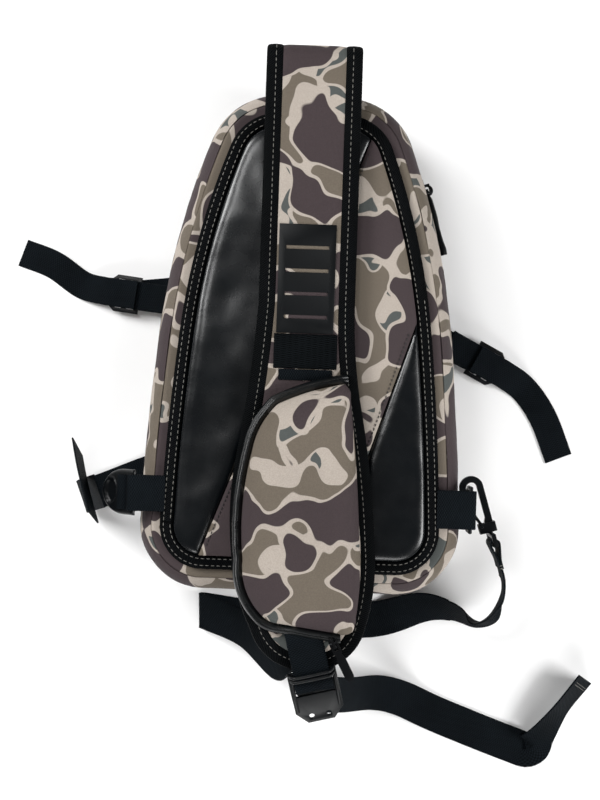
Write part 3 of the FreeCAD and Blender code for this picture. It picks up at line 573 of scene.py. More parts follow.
def add_light(name, spot, aim, width, height, power):
    lamp = bpy.data.lights.new(name, "AREA")
    lamp.shape = "RECTANGLE"
    lamp.size, lamp.size_y, lamp.energy = width, height, power
    holder = added(name, lamp)
    holder.location = spot
    holder.rotation_euler = (Vector(aim) - Vector(spot)).to_track_quat("-Z", "Y").to_euler()


def add_floor():
    look, skin = shader("pale_floor", 0.9)
    place = node(look, "TexCoord").outputs["Object"]
    tone = shade(look, place, (0.93, 0.93, 0.93), 0.4, 0.01)
    link(look, tone, skin.inputs["Base Color"])
    mesh = bpy.data.meshes.new("floor")
    corners = [(x * FLOOR_HALF, y * FLOOR_HALF, 0) for x, y in ((-1, -1), (1, -1), (1, 1), (-1, 1))]
    mesh.from_pydata(corners, [], [(0, 1, 2, 3)])
    mesh.materials.append(look)
    floor = added("floor", mesh)
    floor.location.z = -0.3 * MM


add_camera()
add_floor()
for light in LIGHTS:
    add_light(*light)
scene.world = bpy.data.worlds.new("studio")
scene.world.use_nodes = True
surround = scene.world.node_tree.nodes["Background"].inputs
surround["Strength"].default_value = SURROUND_STRENGTH
surround["Color"].default_value = (1, 1, 1, 1)
scene.view_settings.view_transform = "Standard"


# Body: side wall, back rim, front panel and pocket
BODY_STEP = 3 * MM
SEAM_INSET = 10 * MM
POCKET_CORNER = 12 * MM
WALL_PROFILE = [
    (4.2, 12.0), (1.8, 12.4), (0.6, 14.5), (0.1, 19.0), (0.0, 25.0), (0.0, 47.0), (-1.2, 57.0),
    (-1.6, 68.0), (-1.0, 79.0), (0.4, 87.0), (2.4, 92.6), (5.2, 96.8), (8.2, 99.2), (9.7, 99.9),
    (10.1, 99.3), (9.6, 97.0), (6.0, 94.4), (3.6, 89.0), (3.0, 80.0), (3.0, 16.0), (4.2, 13.6),
]
outline = top_outline("back_panel", BODY_STEP)


def soft_wall(points):
    """Pushes a wall in and out by under a millimetre, as loose fabric lies."""
    flat = points.reshape(-1, 3)
    push = noise_at(flat, 46 * MM, 2) * 0.9 * MM + noise_at(flat, 17 * MM, 5) * 0.25 * MM
    middle = np.clip((flat[:, 2] - 50 * MM) / (18 * MM), 0, 1)
    away = unit(flat * np.array([1, 1, 0]))
    return (flat + away * (push * middle)[:, None]).reshape(points.shape)


def make_body():
    path, side, up = flat_frame(outline, 0.0)
    profile = millimetres(WALL_PROFILE)
    wall = sweep("side_wall_skin", path, side, up, profile, CAMO, True, own_cloth=False, wobble=soft_wall)
    finished(wall, "bag_body", "side_wall")

    rim = outline + inward(outline) * (SEAM_INSET + 0.2 * MM)
    low, high = heights("back_panel")

    def rim_height(flat, distance):
        return high - 0.7 * MM + 1.1 * MM * rise(distance, 1.6 * MM)

    rings = [0.5, 1.2, 2.4]
    back = mound("back_panel_skin", rim, low, rim_height, CAMO, 6 * MM, rings, shift=(0.4, 0, 0))
    finished(back, "bag_body", "back_panel")

    edge = outline + inward(outline) * 1.0 * MM
    low, high = heights("front_panel")

    def front_height(flat, distance):
        return high - 0.4 * MM - (high - low - 0.4 * MM) * rise(distance, 3 * MM)

    rings = [0.8, 1.8, 3.2]
    front = mound("front_panel_skin", edge, high - 0.2 * MM, front_height, CAMO, 7 * MM, rings)
    finished(front, "bag_body", "front_panel")


def make_front_pocket():
    """The flat pocket on the front, soft at its edges, and its zipper."""
    low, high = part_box("front_pocket")
    middle = (low + high) / 2
    loop = rounded_bar(high.x - low.x, high.y - low.y, POCKET_CORNER, 8) + np.array([middle.x, middle.y])
    loop = resampled(loop, 3 * MM)

    def height(flat, distance):
        slack = noise_at(flat, 40 * MM, 9) * 0.5 * MM
        return high.z - (high.z - low.z - 0.9 * MM) * rise(distance, 8 * MM) + slack * rise(distance, 30 * MM)

    rings = [0.7, 1.8, 3.4, 5.4]
    pocket = mound("front_pocket_skin", loop, high.z + 0.2 * MM, height, CAMO, 6 * MM, rings)
    finished(pocket, "bag_body", "front_pocket")

    seam = inset_loop(loop, 6 * MM)
    stitched("front_pocket_stitching", seam, low.z + 1.6 * MM, DARK_THREAD)
    moulded("front_zipper_tape_band", "front_zipper_tape", ZIPPER, 0.4 * MM, "bag_body")


# Back pads
# The points a straight edge of the band needs for a row of stitches.
SHORTEST_ROW = 40


def pad_height(base, thick, dip, reach, folds):
    """Height of a pad that dips by its edge, with folds of (size, depth, seed, stretch)."""

    def height(flat, distance):
        slack = 0.0
        for size, deep, seed, stretch in folds:
            slack = slack + noise_at(flat / np.array(stretch), size, seed) * deep
        return base + (thick - dip) + dip * rise(distance, reach) + slack * rise(distance, 3 * reach)

    return height


def make_back_pads():
    base, thick = bottom("back_pad_left"), top("back_pad_left") - bottom("back_pad_left")
    slack = [(48 * MM, 2.6 * MM, 3, (0.8, 1.5)), (24 * MM, 0.9 * MM, 8, (1, 1.4))]
    calm = [(60 * MM, 0.5 * MM, 4, (1, 1))]
    for name, source, look, folds, dip in (
        ("back_pad_left_cushion", "back_pad_left", COATED, slack, 3.4 * MM),
        ("back_pad_right_cushion", "back_pad_right", COATED, slack, 3.4 * MM),
        ("back_band_cushion", "back_camo_band", CAMO, calm, 1.6 * MM),
    ):
        loop = top_outline(source, 2.5 * MM)
        height = pad_height(base, thick, dip, 9 * MM, folds)
        piece = mound(name, loop, base, height, look, 3 * MM, [1.0, 2.6])
        finished(piece, "bag_body", source)
    moulded("back_foam_sheet", "back_foam", FOAM, 0.5 * MM, "bag_body")

    # Dark stitching just inside each long edge of the band.
    loop = top_outline("back_camo_band", 1.5 * MM)
    ahead = heading(loop)
    steep = np.abs(ahead[:, 1]) > 0.80
    near = [ahead.take(range(k - 6, k + 7), axis=0, mode="wrap") for k in range(len(loop))]
    straight = np.array([np.ptp(np.unwrap(np.arctan2(*part.T))) < 0.02 for part in near])
    keep = steep & straight
    starts = [k for k in range(len(loop)) if keep[k] and not keep[k - 1]]
    for number, start in enumerate(starts):
        run = np.roll(loop, -start, axis=0)[: int(np.argmin(np.roll(keep, -start)))]
        if len(run) < SHORTEST_ROW:
            continue
        inset = run + inward(run, closed=False) * 2.8 * MM
        name, level = f"back_band_stitching_{number}", top("back_camo_band") + 0.15 * MM
        stitched(name, inset, level, DARK_THREAD, False, pitch=3.6 * MM, length=2.4 * MM, thick=0.8 * MM)


# Perimeter binding
BINDING_PROFILE = [
    (0.1, 0.1), (-0.3, 2.4), (0.3, 4.5), (1.8, 5.6), (5.5, 6.1),
    (9.2, 5.6), (10.8, 4.3), (11.3, 2.2), (11.1, 0.1),
]
OUTER_ROW = 3.0 * MM
INNER_ROW = 8.6 * MM
# On the upper right side the outer row is hidden in the binding's fold.
HIDDEN_ROW_FOOT = 40 * MM


def make_binding():
    base = bottom("back_binding")
    loop = top_outline("back_binding", 2 * MM)
    path, side, up = flat_frame(loop, base)
    band = sweep("back_binding_tape", path, side, up, millimetres(BINDING_PROFILE), BINDING, True)
    finished(band, "bag_body", "back_binding")
    crown = 5.85 * MM
    inner = inset_loop(loop, INNER_ROW)
    stitched("back_binding_inner_stitching", inner, base + crown, THREAD)
    outer = inset_loop(loop, OUTER_ROW)
    hidden = (outer[:, 0] > 0) & (outer[:, 1] > HIDDEN_ROW_FOOT)
    first = next(k for k in range(len(outer)) if not hidden[k] and hidden[k - 1])
    outer = np.roll(outer, -first, axis=0)[: int((~hidden).sum())]
    stitched("back_binding_outer_stitching", outer, base + crown, THREAD, False)


# Main zipper


def make_main_zipper():
    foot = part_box("main_zipper_tape")[0].y
    start = int(np.argmin(outline[:, 1]))
    run = np.roll(outline, -start, axis=0)
    run = resampled(run[run[:, 1] > foot], 1.5 * MM, closed=False)
    low, high = heights("main_zipper_tape")
    half = (high - low) / 2 / MM
    # The tape's section: a rounded edge, flat tape, a ridge, the teeth's channel, and the same again.
    profile = [(0.2, -half), (-0.7, -half + 0.3), (-1.1, -half + 1.2)]
    profile += [(-1.1, -5.0), (-1.9, -3.2), (-1.9, -2.4)]
    profile += [(-1.0, -2.1), (-1.0, 2.1)] + [(x, -y) for x, y in profile[::-1][:-1]] + [(0.2, half)]
    path, side, up = flat_frame(run, (low + high) / 2, closed=False)
    tape = sweep("main_zipper_band", path, side, up, millimetres(profile), ZIPPER)
    finished(tape, "bag_body", "main_zipper_tape")

    pitch, tooth = 1.7 * MM, np.array([1.15, 1.5, 2.7]) * MM
    along = lengths(path)
    places = np.arange(pitch, along[-1] - pitch, pitch)
    spot = at_lengths(places, along, path)
    across = unit(at_lengths(places, along, side))
    ahead = np.cross(across, up[0])
    corner = np.array([(a, b, c) for a in (-1, 1) for b in (0, 1) for c in (-1, 1)], float)
    corner *= tooth * np.array([0.5, -1, 0.5])
    corner[:, 0] *= np.where(corner[:, 1] < 0, 0.7, 1.0)
    lift = np.where(np.arange(len(places)) % 2, 0.55 * MM, -0.55 * MM)
    inset = corner[None, :, 1:2] - 1.0 * MM
    points = spot[:, None] + ahead[:, None] * corner[None, :, :1] + across[:, None] * inset
    points[:, :, 2] += corner[:, 2] + lift[:, None]
    box = [(0, 1, 3, 2), (4, 6, 7, 5), (0, 4, 5, 1), (2, 3, 7, 6), (0, 2, 6, 4), (1, 5, 7, 3)]
    faces = [tuple(i + 8 * k for i in face) for k in range(len(places)) for face in box]
    teeth = make("main_zipper_tooth_row", points, faces, PLASTIC, crease=20)
    finished(teeth, "bag_body", "main_zipper_teeth", slot="coated_zipper")


# Shoulder strap
fold_at = joint_place("strap_lift")
strap_low, strap_high = heights("shoulder_strap_pad")
root_low = bottom("strap_root")
ROOT_THICK = 5.0 * MM
FOLD_LENGTH = 25 * MM
root_length = fold_at.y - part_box("strap_root")[0].y


def over_fold(points):
    """Carries the flat strap over its fold and back along its root."""
    bent = np.array(points, float)
    past = bent[:, 1] - fold_at.y
    share = np.clip(past / FOLD_LENGTH, 0, 1)
    height = (bent[:, 2] - strap_low) / (strap_high - strap_low)
    inner = (1 - share) * (strap_low - fold_at.z) + share * (fold_at.z - root_low - ROOT_THICK)
    outer = (1 - share) * (strap_high - fold_at.z) + share * (fold_at.z - root_low)
    radius = inner + height * (outer - inner)
    turn = share * math.pi
    folded = past > 0
    bent[folded, 1] = (fold_at.y + radius * np.sin(turn) - np.maximum(past - FOLD_LENGTH, 0))[folded]
    bent[folded, 2] = (fold_at.z + radius * np.cos(turn))[folded]
    return bent


def started(loop, place):
    """The same closed line, started at its point nearest a place."""
    return np.roll(loop, -nearest(loop, place), axis=0)


def between(loop, start, end):
    """The run of a closed line from its point nearest one place to that nearest another."""
    turned = started(loop, start)
    return turned[: nearest(turned, end) + 1]


def strap_skin(piece, *nodes):
    """A strap piece that runs over the fold from the bag to the strap."""
    start, end = (0, fold_at.y, root_low + ROOT_THICK), (0, fold_at.y, strap_low)
    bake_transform(piece)
    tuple(start)
    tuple(end)
    return labelled(piece, nodes)


def strap_runs():
    """The strap's outer and inner edge lines, both from the left root end round the tip to the right."""
    loop = outlines("strap_binding", strap_high)[0]
    outer_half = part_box("strap_root")[1].x
    inner_half = outer_half - STRAP_EDGE_WIDTH
    far = fold_at.y + FOLD_LENGTH + root_length
    outer = between(loop, (-outer_half, fold_at.y), (outer_half, fold_at.y))
    inner = between(loop, (inner_half, fold_at.y), (-inner_half, fold_at.y))[::-1]
    runs = []
    for run in (outer, inner):
        ends = [(run[0][0], far), (run[-1][0], far)]
        runs.append(resampled(np.vstack([ends[0], run, ends[1]]), 2.5 * MM, closed=False))
    return runs


STRAP_EDGE_PROFILE = [
    (13.2, 0.2), (2.6, 0.0), (0.7, 0.7), (-0.1, 2.4), (-0.1, 6.0), (0.6, 8.0),
    (2.6, 9.0), (7.0, 9.4), (11.6, 9.1), (13.5, 8.2), (13.8, 5.0),
]
STRAP_ROW = 7.8 * MM
STRAP_CROWN = 9.35 * MM
STRAP_EDGE_WIDTH = 13.5 * MM


def make_strap():
    outer, inner = strap_runs()
    path, side, up = flat_frame(outer, strap_low, closed=False)
    profile = millimetres(STRAP_EDGE_PROFILE)
    edge = sweep("strap_binding_tape", path, side, up, profile, BINDING, bend=over_fold)
    strap_skin(edge, "strap_binding")
    line = outer + inward(outer, closed=False) * STRAP_ROW
    line = flat_frame(line, strap_low + STRAP_CROWN, closed=False)
    row = stitches("strap_binding_stitching", *line, THREAD, bend=over_fold)
    strap_skin(row)

    loop = resampled(inner - inward(inner, closed=False) * 1.5 * MM, 3 * MM)

    def height(flat, distance):
        slack = noise_at(flat, 45 * MM, 6) * 0.3 * MM
        return strap_high - 1.6 * MM + 1.9 * MM * rise(distance, 8 * MM) + slack

    base, rings = strap_low + 0.1 * MM, [1.2, 3.0, 5.5]
    pad = mound("strap_pad_skin", loop, base, height, CAMO_CANVAS, 4 * MM, rings, over_fold, (1.3, 0.2, 0))
    strap_skin(pad, "shoulder_strap_pad", "strap_root")

    moulded("strap_slot_plate", "strap_slot_panel", PANEL, 0.35 * MM, "shoulder_strap")
    low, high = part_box("strap_elastic_band")
    corners = [(low.x, low.y), (high.x, low.y), (high.x, high.y), (low.x, high.y)]
    loop = resampled(np.array(corners), 1.5 * MM)

    def swell(flat, distance):
        return low.z + (high.z - low.z) * (0.45 + 0.75 * rise(distance, 2.2 * MM))

    band = mound("strap_elastic", loop, low.z, swell, ELASTIC, 2.5 * MM, [0.6, 1.4])
    finished(band, "shoulder_strap", "strap_elastic_band")
    moulded("strap_upper_webbing_run", "strap_upper_webbing", WEBBING, 0.4 * MM, "shoulder_strap")


# Strap pocket: a domed shell with a zipper band along three sides. Its right side is sewn under the binding.
POCKET_BAND_TOP = (36 * MM, -26 * MM)
POCKET_BAND_FOOT = (36 * MM, -247 * MM)
BAND_PROFILE = [
    (0.6, 0.0), (0.0, 2.4), (0.1, 5.4), (1.0, 7.9), (2.6, 9.0), (3.5, 8.5),
    (4.4, 9.2), (6.4, 8.6), (7.8, 6.8), (8.2, 3.0), (7.8, 0.0),
]


def make_strap_pocket():
    base = bottom("strap_pocket_zipper")
    loop = started(top_outline("strap_pocket_zipper", 2 * MM), POCKET_BAND_TOP)
    run = between(loop, POCKET_BAND_TOP, POCKET_BAND_FOOT)
    path, side, up = flat_frame(run, base, closed=False)
    ripple = noise_at(path, 14 * MM, 11)[:, None, None] * np.array([0.5 * MM, 0.45 * MM])
    profile = np.tile(millimetres(BAND_PROFILE), (len(path), 1, 1))
    profile += ripple * (profile[:, :, 1:] > 4 * MM)
    band = sweep("strap_pocket_zipper_band", path, side, up, profile, PIPING)
    finished(band, "shoulder_strap", "strap_pocket_zipper")

    width = 6.6 * MM
    along = lengths(np.vstack([loop, loop[:1]]))[:-1]
    end = along[len(run) - 1]
    past = np.where(along > end, np.minimum(along - end, along[-1] - along), 0)
    inset = width * (1 - np.clip(past / (14 * MM), 0, 1)) + 1.0 * MM
    shell = inset_loop(loop, inset[:, None])
    high = top("strap_pocket_shell")

    def dome(flat, distance):
        wall = 7.5 * MM * np.clip(distance / (1.2 * MM), 0, 1)
        return base + 0.5 * MM + wall + (high - base - 8.5 * MM) * rise(distance, 24 * MM)

    rings = [0.5, 1.2, 2.2, 3.6, 5.4, 7.6, 10.4, 13.6]
    cover = mound("strap_pocket_cover", shell, base, dome, CAMO_CANVAS, 4 * MM, rings, shift=(1.3, 0.46, 0.3))
    finished(cover, "shoulder_strap", "strap_pocket_shell")


# Webbing


def smooth_run(stations, step=2 * MM):
    """Centres, sideways and upward vectors of webbing through stations of (centre, width direction).

    Centres are in millimetres. Where the direction is None the webbing lies level.
    """
    centres = millimetres([centre for centre, _ in stations])
    sides = []
    for index, (_, across) in enumerate(stations):
        ahead = centres[min(index + 1, len(centres) - 1)] - centres[max(index - 1, 0)]
        side = np.array(across, float) if across else np.array([-ahead[1], ahead[0], 0.0])
        side = unit(side - unit(ahead) * (side @ unit(ahead)))
        if sides and side @ sides[-1] < 0:
            side = -side
        sides.append(side)
    knots = np.hstack([centres, np.array(sides) * 20 * MM])
    padded = np.vstack([2 * knots[0] - knots[1], knots, 2 * knots[-1] - knots[-2]])
    t = np.linspace(0, 1, 12, endpoint=False)[:, None]
    pieces = []
    for a, b, c, d in zip(padded, padded[1:], padded[2:], padded[3:]):
        bow, twist = 2 * a - 5 * b + 4 * c - d, 3 * b - a - 3 * c + d
        pieces.append(0.5 * (2 * b + (c - a) * t + bow * t**2 + twist * t**3))
    curve = np.vstack(pieces + [knots[-1:]])
    along = lengths(curve[:, :3])
    at = np.linspace(0, along[-1], max(int(along[-1] / step), 4) + 1)
    curve = at_lengths(at, along, curve)
    path = curve[:, :3]
    ahead = heading(path, closed=False)
    side = curve[:, 3:]
    side = unit(side - ahead * (side * ahead).sum(axis=1, keepdims=True))
    return path, side, np.cross(ahead, side)


WEBBING_THICK = 1.6 * MM
FLOOR_GAP = 0.2 * MM


def webbing_profile(width):
    """A flat tape a little thicker at its woven edges."""
    half, thick = width / 2, WEBBING_THICK / 2
    edge = [(0.0, 0.0), (0.2 * MM, 0.7), (0.9 * MM, 1.0), (2.4 * MM, 0.88)]
    right = [(half - inset, share * thick) for inset, share in edge]
    upper = right + [(0.0, 0.9 * thick)] + [(-x, y) for x, y in right[::-1]]
    return np.array(upper + [(x, -y) for x, y in upper[-2:0:-1]])


def ribbon(name, run, width):
    """Webbing along a run, lifted wherever its lower edge would sink into the floor."""
    path, side, up = run
    reach = width / 2 * np.abs(side[:, 2]) + WEBBING_THICK / 2 * np.abs(up[:, 2])
    path = path.copy()
    path[:, 2] = np.maximum(path[:, 2], reach + FLOOR_GAP)
    return sweep(name, path, side, up, webbing_profile(width), WEBBING)


# Each bar's turn about Z, in degrees, by the joint of its hardware.
TURNS = {
    "strap_lock_tilt": 14.0,
    "left_lock_tilt": -90.0,
    "left_side_buckle_tilt": -97.0,
    "right_side_buckle_tilt": 63.0,
    "ring_swing": 90.0,
}


def bar_frame(joint, droop=0.0):
    """Local axes of hardware on a bar: X along the bar, Y away from it, back to where its webbing is sewn."""
    turn = Matrix.Rotation(math.radians(TURNS[joint]), 4, "Z") @ Matrix.Rotation(math.radians(droop), 4, "X")
    return Matrix.Translation(joint_place(joint)) @ turn


def loop_run(place, reach, radius=4.2 * MM, joined=12 * MM):
    """Webbing folded round a bar: out under it, round, and back, its layers joined past a distance."""
    low = [(reach, -0.9 * MM), (joined, -0.95 * MM), (0.55 * joined, -0.55 * radius), (0.0, -radius)]
    turn = [(-radius * math.sin(a), -radius * math.cos(a)) for a in np.linspace(0.3, math.pi - 0.3, 7)]
    back = [(y, -z) for y, z in low[::-1]]
    line = resampled(np.array(low[:-1] + turn + back[1:]), 1.2 * MM, closed=False)
    for _ in range(3):
        line[1:-1] = (line[:-2] + 2 * line[1:-1] + line[2:]) / 4
    path = np.array([place @ Vector((0, y, z)) for y, z in line])
    side = np.tile(np.array(place.to_3x3().col[0]), (len(path), 1))
    return path, side, np.cross(heading(path, closed=False), side)


STRAP_LOCK = bar_frame("strap_lock_tilt", 16.0)
LEFT_LOCK = bar_frame("left_lock_tilt", 40.0)
LEFT_SIDE_LOCK = bar_frame("left_side_buckle_tilt", 5.0)
RIGHT_SIDE_LOCK = bar_frame("right_side_buckle_tilt", 5.0)
HOOK_TURN = math.radians(17.0)
WIDE = 32 * MM
LOCK_WIDE = 30 * MM
NARROW = 25 * MM
# Webbing's way through a buckle, as its local (along, up) places: under the end bar, over the next.
THREADING = [(0.0, -4.6), (-4.0, -2.8), (-7.0, 2.0), (-11.2, 3.4), (-15.5, 2.0), (-18.0, -2.0)]
UNDER_TAB = [(-26.0, -3.4)]
# On the side buckles the webbing lies over the whole buckle.
OVER_BUCKLE = [(-0.5, 6.8), (-5.0, 6.0), (-14.0, 4.4), (-24.0, 3.6), (-31.0, 2.4)]


def hook_place(spot):
    """A place of the hook's own frame, in millimetres, as a point of the row frame."""
    return joint_place("hook_swing") + Matrix.Rotation(HOOK_TURN, 3, "Z") @ Vector(spot) * MM


def threaded(place, steps):
    """Stations of webbing at local (along, up) places of a buckle, level with its bars."""
    across = tuple(place.to_3x3().col[0])
    return [(tuple(place @ (Vector((0, along, up)) * MM) / MM), across) for along, up in steps]


SIDE_DROOP = 14.0


def tab(name, source, joint, width, reach, droop=0.0, body="bag_body"):
    """A webbing loop, some millimetres long, that holds a buckle or the ring."""
    finished(ribbon(name, loop_run(bar_frame(joint, droop), reach * MM), width), body, source)


def make_tabs():
    tab("strap_end_tab", "strap_end_webbing", "strap_lock_tilt", LOCK_WIDE, 38, body="shoulder_strap")
    tab("left_corner_webbing", "left_corner_tab", "left_lock_tilt", LOCK_WIDE, 27)
    tab("right_corner_webbing", "right_corner_tab", "ring_swing", WIDE, 28)
    tab("left_side_webbing", "left_side_loop", "left_side_buckle_tilt", NARROW, 33, SIDE_DROOP)
    tab("right_side_webbing", "right_side_loop", "right_side_buckle_tilt", NARROW, 28, SIDE_DROOP)


FLOOR = 1.0
ON_EDGE = (0, 0, 1)
SLING = [
    ((171.4, -190, 88), ON_EDGE), ((172.2, -195, 87.9), ON_EDGE),
    ((173, -202, 84), (-0.05, 0.05, 1)), ((173, -211, 73), (-0.1, 0.1, 1)),
    ((170, -226, 53), (-0.2, 0.15, 1)), ((164.3, -237.8, 38), (-0.15, 0.25, 1)),
    ((153.5, -237.6, 25), (0.05, 0.42, 1)), ((136.7, -232, 14.5), (0.1, 0.75, 1)),
    ((111.3, -230.9, 9.2), (0.05, 1, 0.55)), ((73.6, -243.2, FLOOR), None),
    ((29.5, -246, FLOOR), None), ((-30, -247, FLOOR), None),
    ((-74, -242, FLOOR), None), ((-86, -240.5, 5), (-0.15, 1, 0)),
    ((-80, -242, 10), (-0.15, 1, 0)), ((-44, -252, 34), (0.15, 1, 0)),
    ((-12, -270, 84), (0.5, 1, 0)),
]
STRAP_TAIL = [
    ((26, -294, 98), (0.45, 1, 0)), ((46, -300, 66), (0.3, 1, 0)),
    ((72, -305, 26), (0.25, 1, 0)), ((96, -313, 6.5), None),
    ((130, -328, FLOOR), None), ((196, -352, FLOOR), None),
    ((212, -355, 4.5), (0.2, 1, 0.15)), ((222, -342, 10), (-0.6, 0.5, 0.5)),
    ((238, -317, 14), (-0.5, 0.36, 0.8)), ((259, -289, 14.5), (-0.5, 0.36, 0.8)),
]
STABILISER_RUN = [
    ((-118, -112, 7), None), ((-140, -120, FLOOR), None),
    ((-173, -134, FLOOR), None), ((-188, -140, 2.2), (-0.36, 0.93, 0)),
    ((-194, -142, 9), (-0.36, 0.93, 0)), ((-191, -140, 22), (-0.36, 0.93, 0)),
    ((-171, -132, 74), (-0.36, 0.93, 0)),
]
STABILISER_TAIL = [
    ((-173, -153, 92), ON_EDGE), ((-179, -138, 84), ON_EDGE),
    ((-187, -117, 70), ON_EDGE), ((-194, -96, 54), ON_EDGE),
]
LEFT_SIDE_TAIL = [((-202, 48, FLOOR), None), ((-228, 65, FLOOR), None), ((-256, 75, FLOOR), None)]
LEFT_SIDE_STRAP = [((-116, 45, 7), None), ((-130, 43.5, FLOOR), None), ((-160, 40, FLOOR), None)]
RIGHT_SIDE_TAIL = [((198, -33, FLOOR), None), ((216, -58, FLOOR), None), ((231, -94, FLOOR), None)]
RIGHT_SIDE_STRAP = [((115, 12, 7), None), ((128, 5, FLOOR), None), ((158, -9.5, FLOOR), None)]


def level_blend(piece, body, span, *nodes):
    """Webbing that leaves the bag along the floor, baked where it lies, with the CAD nodes it takes over
    hidden.
    """
    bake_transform(piece)
    labelled(piece, nodes)


# The sling is one strap. It is divided where it lies down, between the hook's part and the strap's.
SLING_CUT = millimetres((136.7, -232.0, 14.5))
HOOK_SWIVEL_X = 5.8
EYE_BAR_Y = -49.85
SLING_START_Y = -70.0
LOCK_ENTRY = [(4.0, -9.0), (2.5, -5.2)]
# From where a run still lies with the bag to where its other body has it wholly, in metres.
HOOK_PULL = ((0.137, -0.232, 0.0145), (0.1714, -0.19, 0.088))
STRAP_PULL = ((0.115, -0.235, 0.001), (0.02, -0.246, 0.001))
LOCK_PULL = ((-0.135, -0.118, 0.001), (-0.190, -0.141, 0.001))


def make_sling():
    start = (tuple(hook_place((HOOK_SWIVEL_X, SLING_START_Y, 0.0)) / MM), ON_EDGE)
    whole = smooth_run([start] + SLING + threaded(STRAP_LOCK, LOCK_ENTRY))
    cut = nearest(whole[0], SLING_CUT)
    near = ribbon("sling_hook_webbing", tuple(part[: cut + 1] for part in whole), LOCK_WIDE)
    level_blend(near, "hook_eye", HOOK_PULL, "sling_webbing_run")
    sling = ribbon("sling_webbing", tuple(part[cut:] for part in whole), WIDE)
    level_blend(sling, "shoulder_strap", STRAP_PULL, "sling_webbing_loop")


def make_stabiliser():
    floor_run = ribbon("stabiliser_floor_webbing", smooth_run(STABILISER_RUN), LOCK_WIDE)
    level_blend(floor_run, "left_lock", LOCK_PULL, "stabiliser_strap", "stabiliser_return")
    through = smooth_run(threaded(LEFT_LOCK, (THREADING + UNDER_TAB)[::-1]))
    finished(ribbon("stabiliser_lock_webbing", through, WIDE - 3 * MM), "left_lock")


TAIL_HEM = 8 * MM


def make_webbing():
    make_sling()
    make_stabiliser()
    strap_tail = threaded(STRAP_LOCK, THREADING) + STRAP_TAIL
    left_tail = threaded(LEFT_SIDE_LOCK, OVER_BUCKLE) + LEFT_SIDE_TAIL
    right_tail = threaded(RIGHT_SIDE_LOCK, OVER_BUCKLE) + RIGHT_SIDE_TAIL
    for source, stations, width, body in (
        ("strap_tail", strap_tail, WIDE, "strap_lock"),
        ("stabiliser_tail", STABILISER_TAIL, LOCK_WIDE, "left_lock"),
        ("left_side_strap", LEFT_SIDE_STRAP, NARROW, "bag_body"),
        ("right_side_strap", RIGHT_SIDE_STRAP, NARROW, "bag_body"),
        ("left_side_tail", left_tail, NARROW, "left_side_buckle"),
        ("right_side_tail", right_tail, NARROW, "right_side_buckle"),
    ):
        finished(ribbon(source + "_webbing", smooth_run(stations), width), body, source)

    # Light stitching across the strap tail's end.
    path, side, up = smooth_run(STRAP_TAIL)
    rest = lengths(path)[-1] - lengths(path)
    at = int(np.argmin(np.abs(rest - TAIL_HEM)))
    lift = up[at] * (1 if up[at][2] >= 0 else -1)
    middle = path[at] + lift * WEBBING_THICK / 2
    cross_stitches("strap_tail_end_stitching", middle, side[at], lift, 12 * MM, "strap_lock")


CROSS_PITCH = 3.4 * MM
CROSS_GAP = 2.4 * MM


def cross_stitches(name, middle, across, lift, half, body):
    """Two short light rows of stitching across webbing."""
    ahead = np.cross(across, lift)
    for number, offset in enumerate((-CROSS_GAP / 2, CROSS_GAP / 2)):
        line = np.array([middle - across * half, middle + across * half]) + ahead * offset
        sides, lifts = np.tile(ahead, (2, 1)), np.tile(lift, (2, 1))
        row = stitches(f"{name}_{number}", line, sides, lifts, THREAD, CROSS_PITCH)
        finished(row, body, slot="black_webbing")


# Hardware


def placed(place):
    """Carries local points of a buckle to their place."""
    turn, spot = np.array(place.to_3x3()), np.array(place.translation)
    return lambda points: points @ turn.T + spot


def round_rod(name, path, radii, look):
    """A rod of round section along a level path, with a radius at each point."""
    ahead = heading(path, closed=False)
    side = unit(np.cross(np.array([0.0, 0.0, 1.0]), ahead))
    profile = round_section(14, 1.0) * np.asarray(radii)[:, None, None]
    return sweep(name, path, side, np.cross(ahead, side), profile, look)


def make_left_lock():
    """Round-ended buckle with an oval thumb recess."""
    turn = np.linspace(0, math.pi, 30)
    half, foot, long = 19 * MM, -12 * MM, 24 * MM
    end = np.column_stack([half * np.cos(turn), foot - long * np.sin(turn)])
    loop = resampled(np.vstack([[(half, 2 * MM)], end, [(-half, 2 * MM)]])[::-1], 1.2 * MM)
    middle, reach = np.array([0, -24.5 * MM]), np.array([10.5 * MM, 6.5 * MM])

    def height(flat, distance):
        off = np.linalg.norm((flat - middle) / reach, axis=1)
        recess = -1.5 * MM * np.clip((1.0 - off) / 0.2, 0, 1)
        rim = 0.7 * MM * np.exp(-(((off - 1.08) / 0.1) ** 2))
        return -1.6 * MM + 3.2 * MM * rise(distance, 2.4 * MM) + recess + rim

    rings = [0.4, 1.0, 1.8]
    low, bend = -1.6 * MM, placed(LEFT_LOCK)
    plate = mound("left_corner_buckle", loop, low, height, PLASTIC, 1.2 * MM, rings, bend=bend)
    finished(plate, "left_lock", "left_corner_lock")


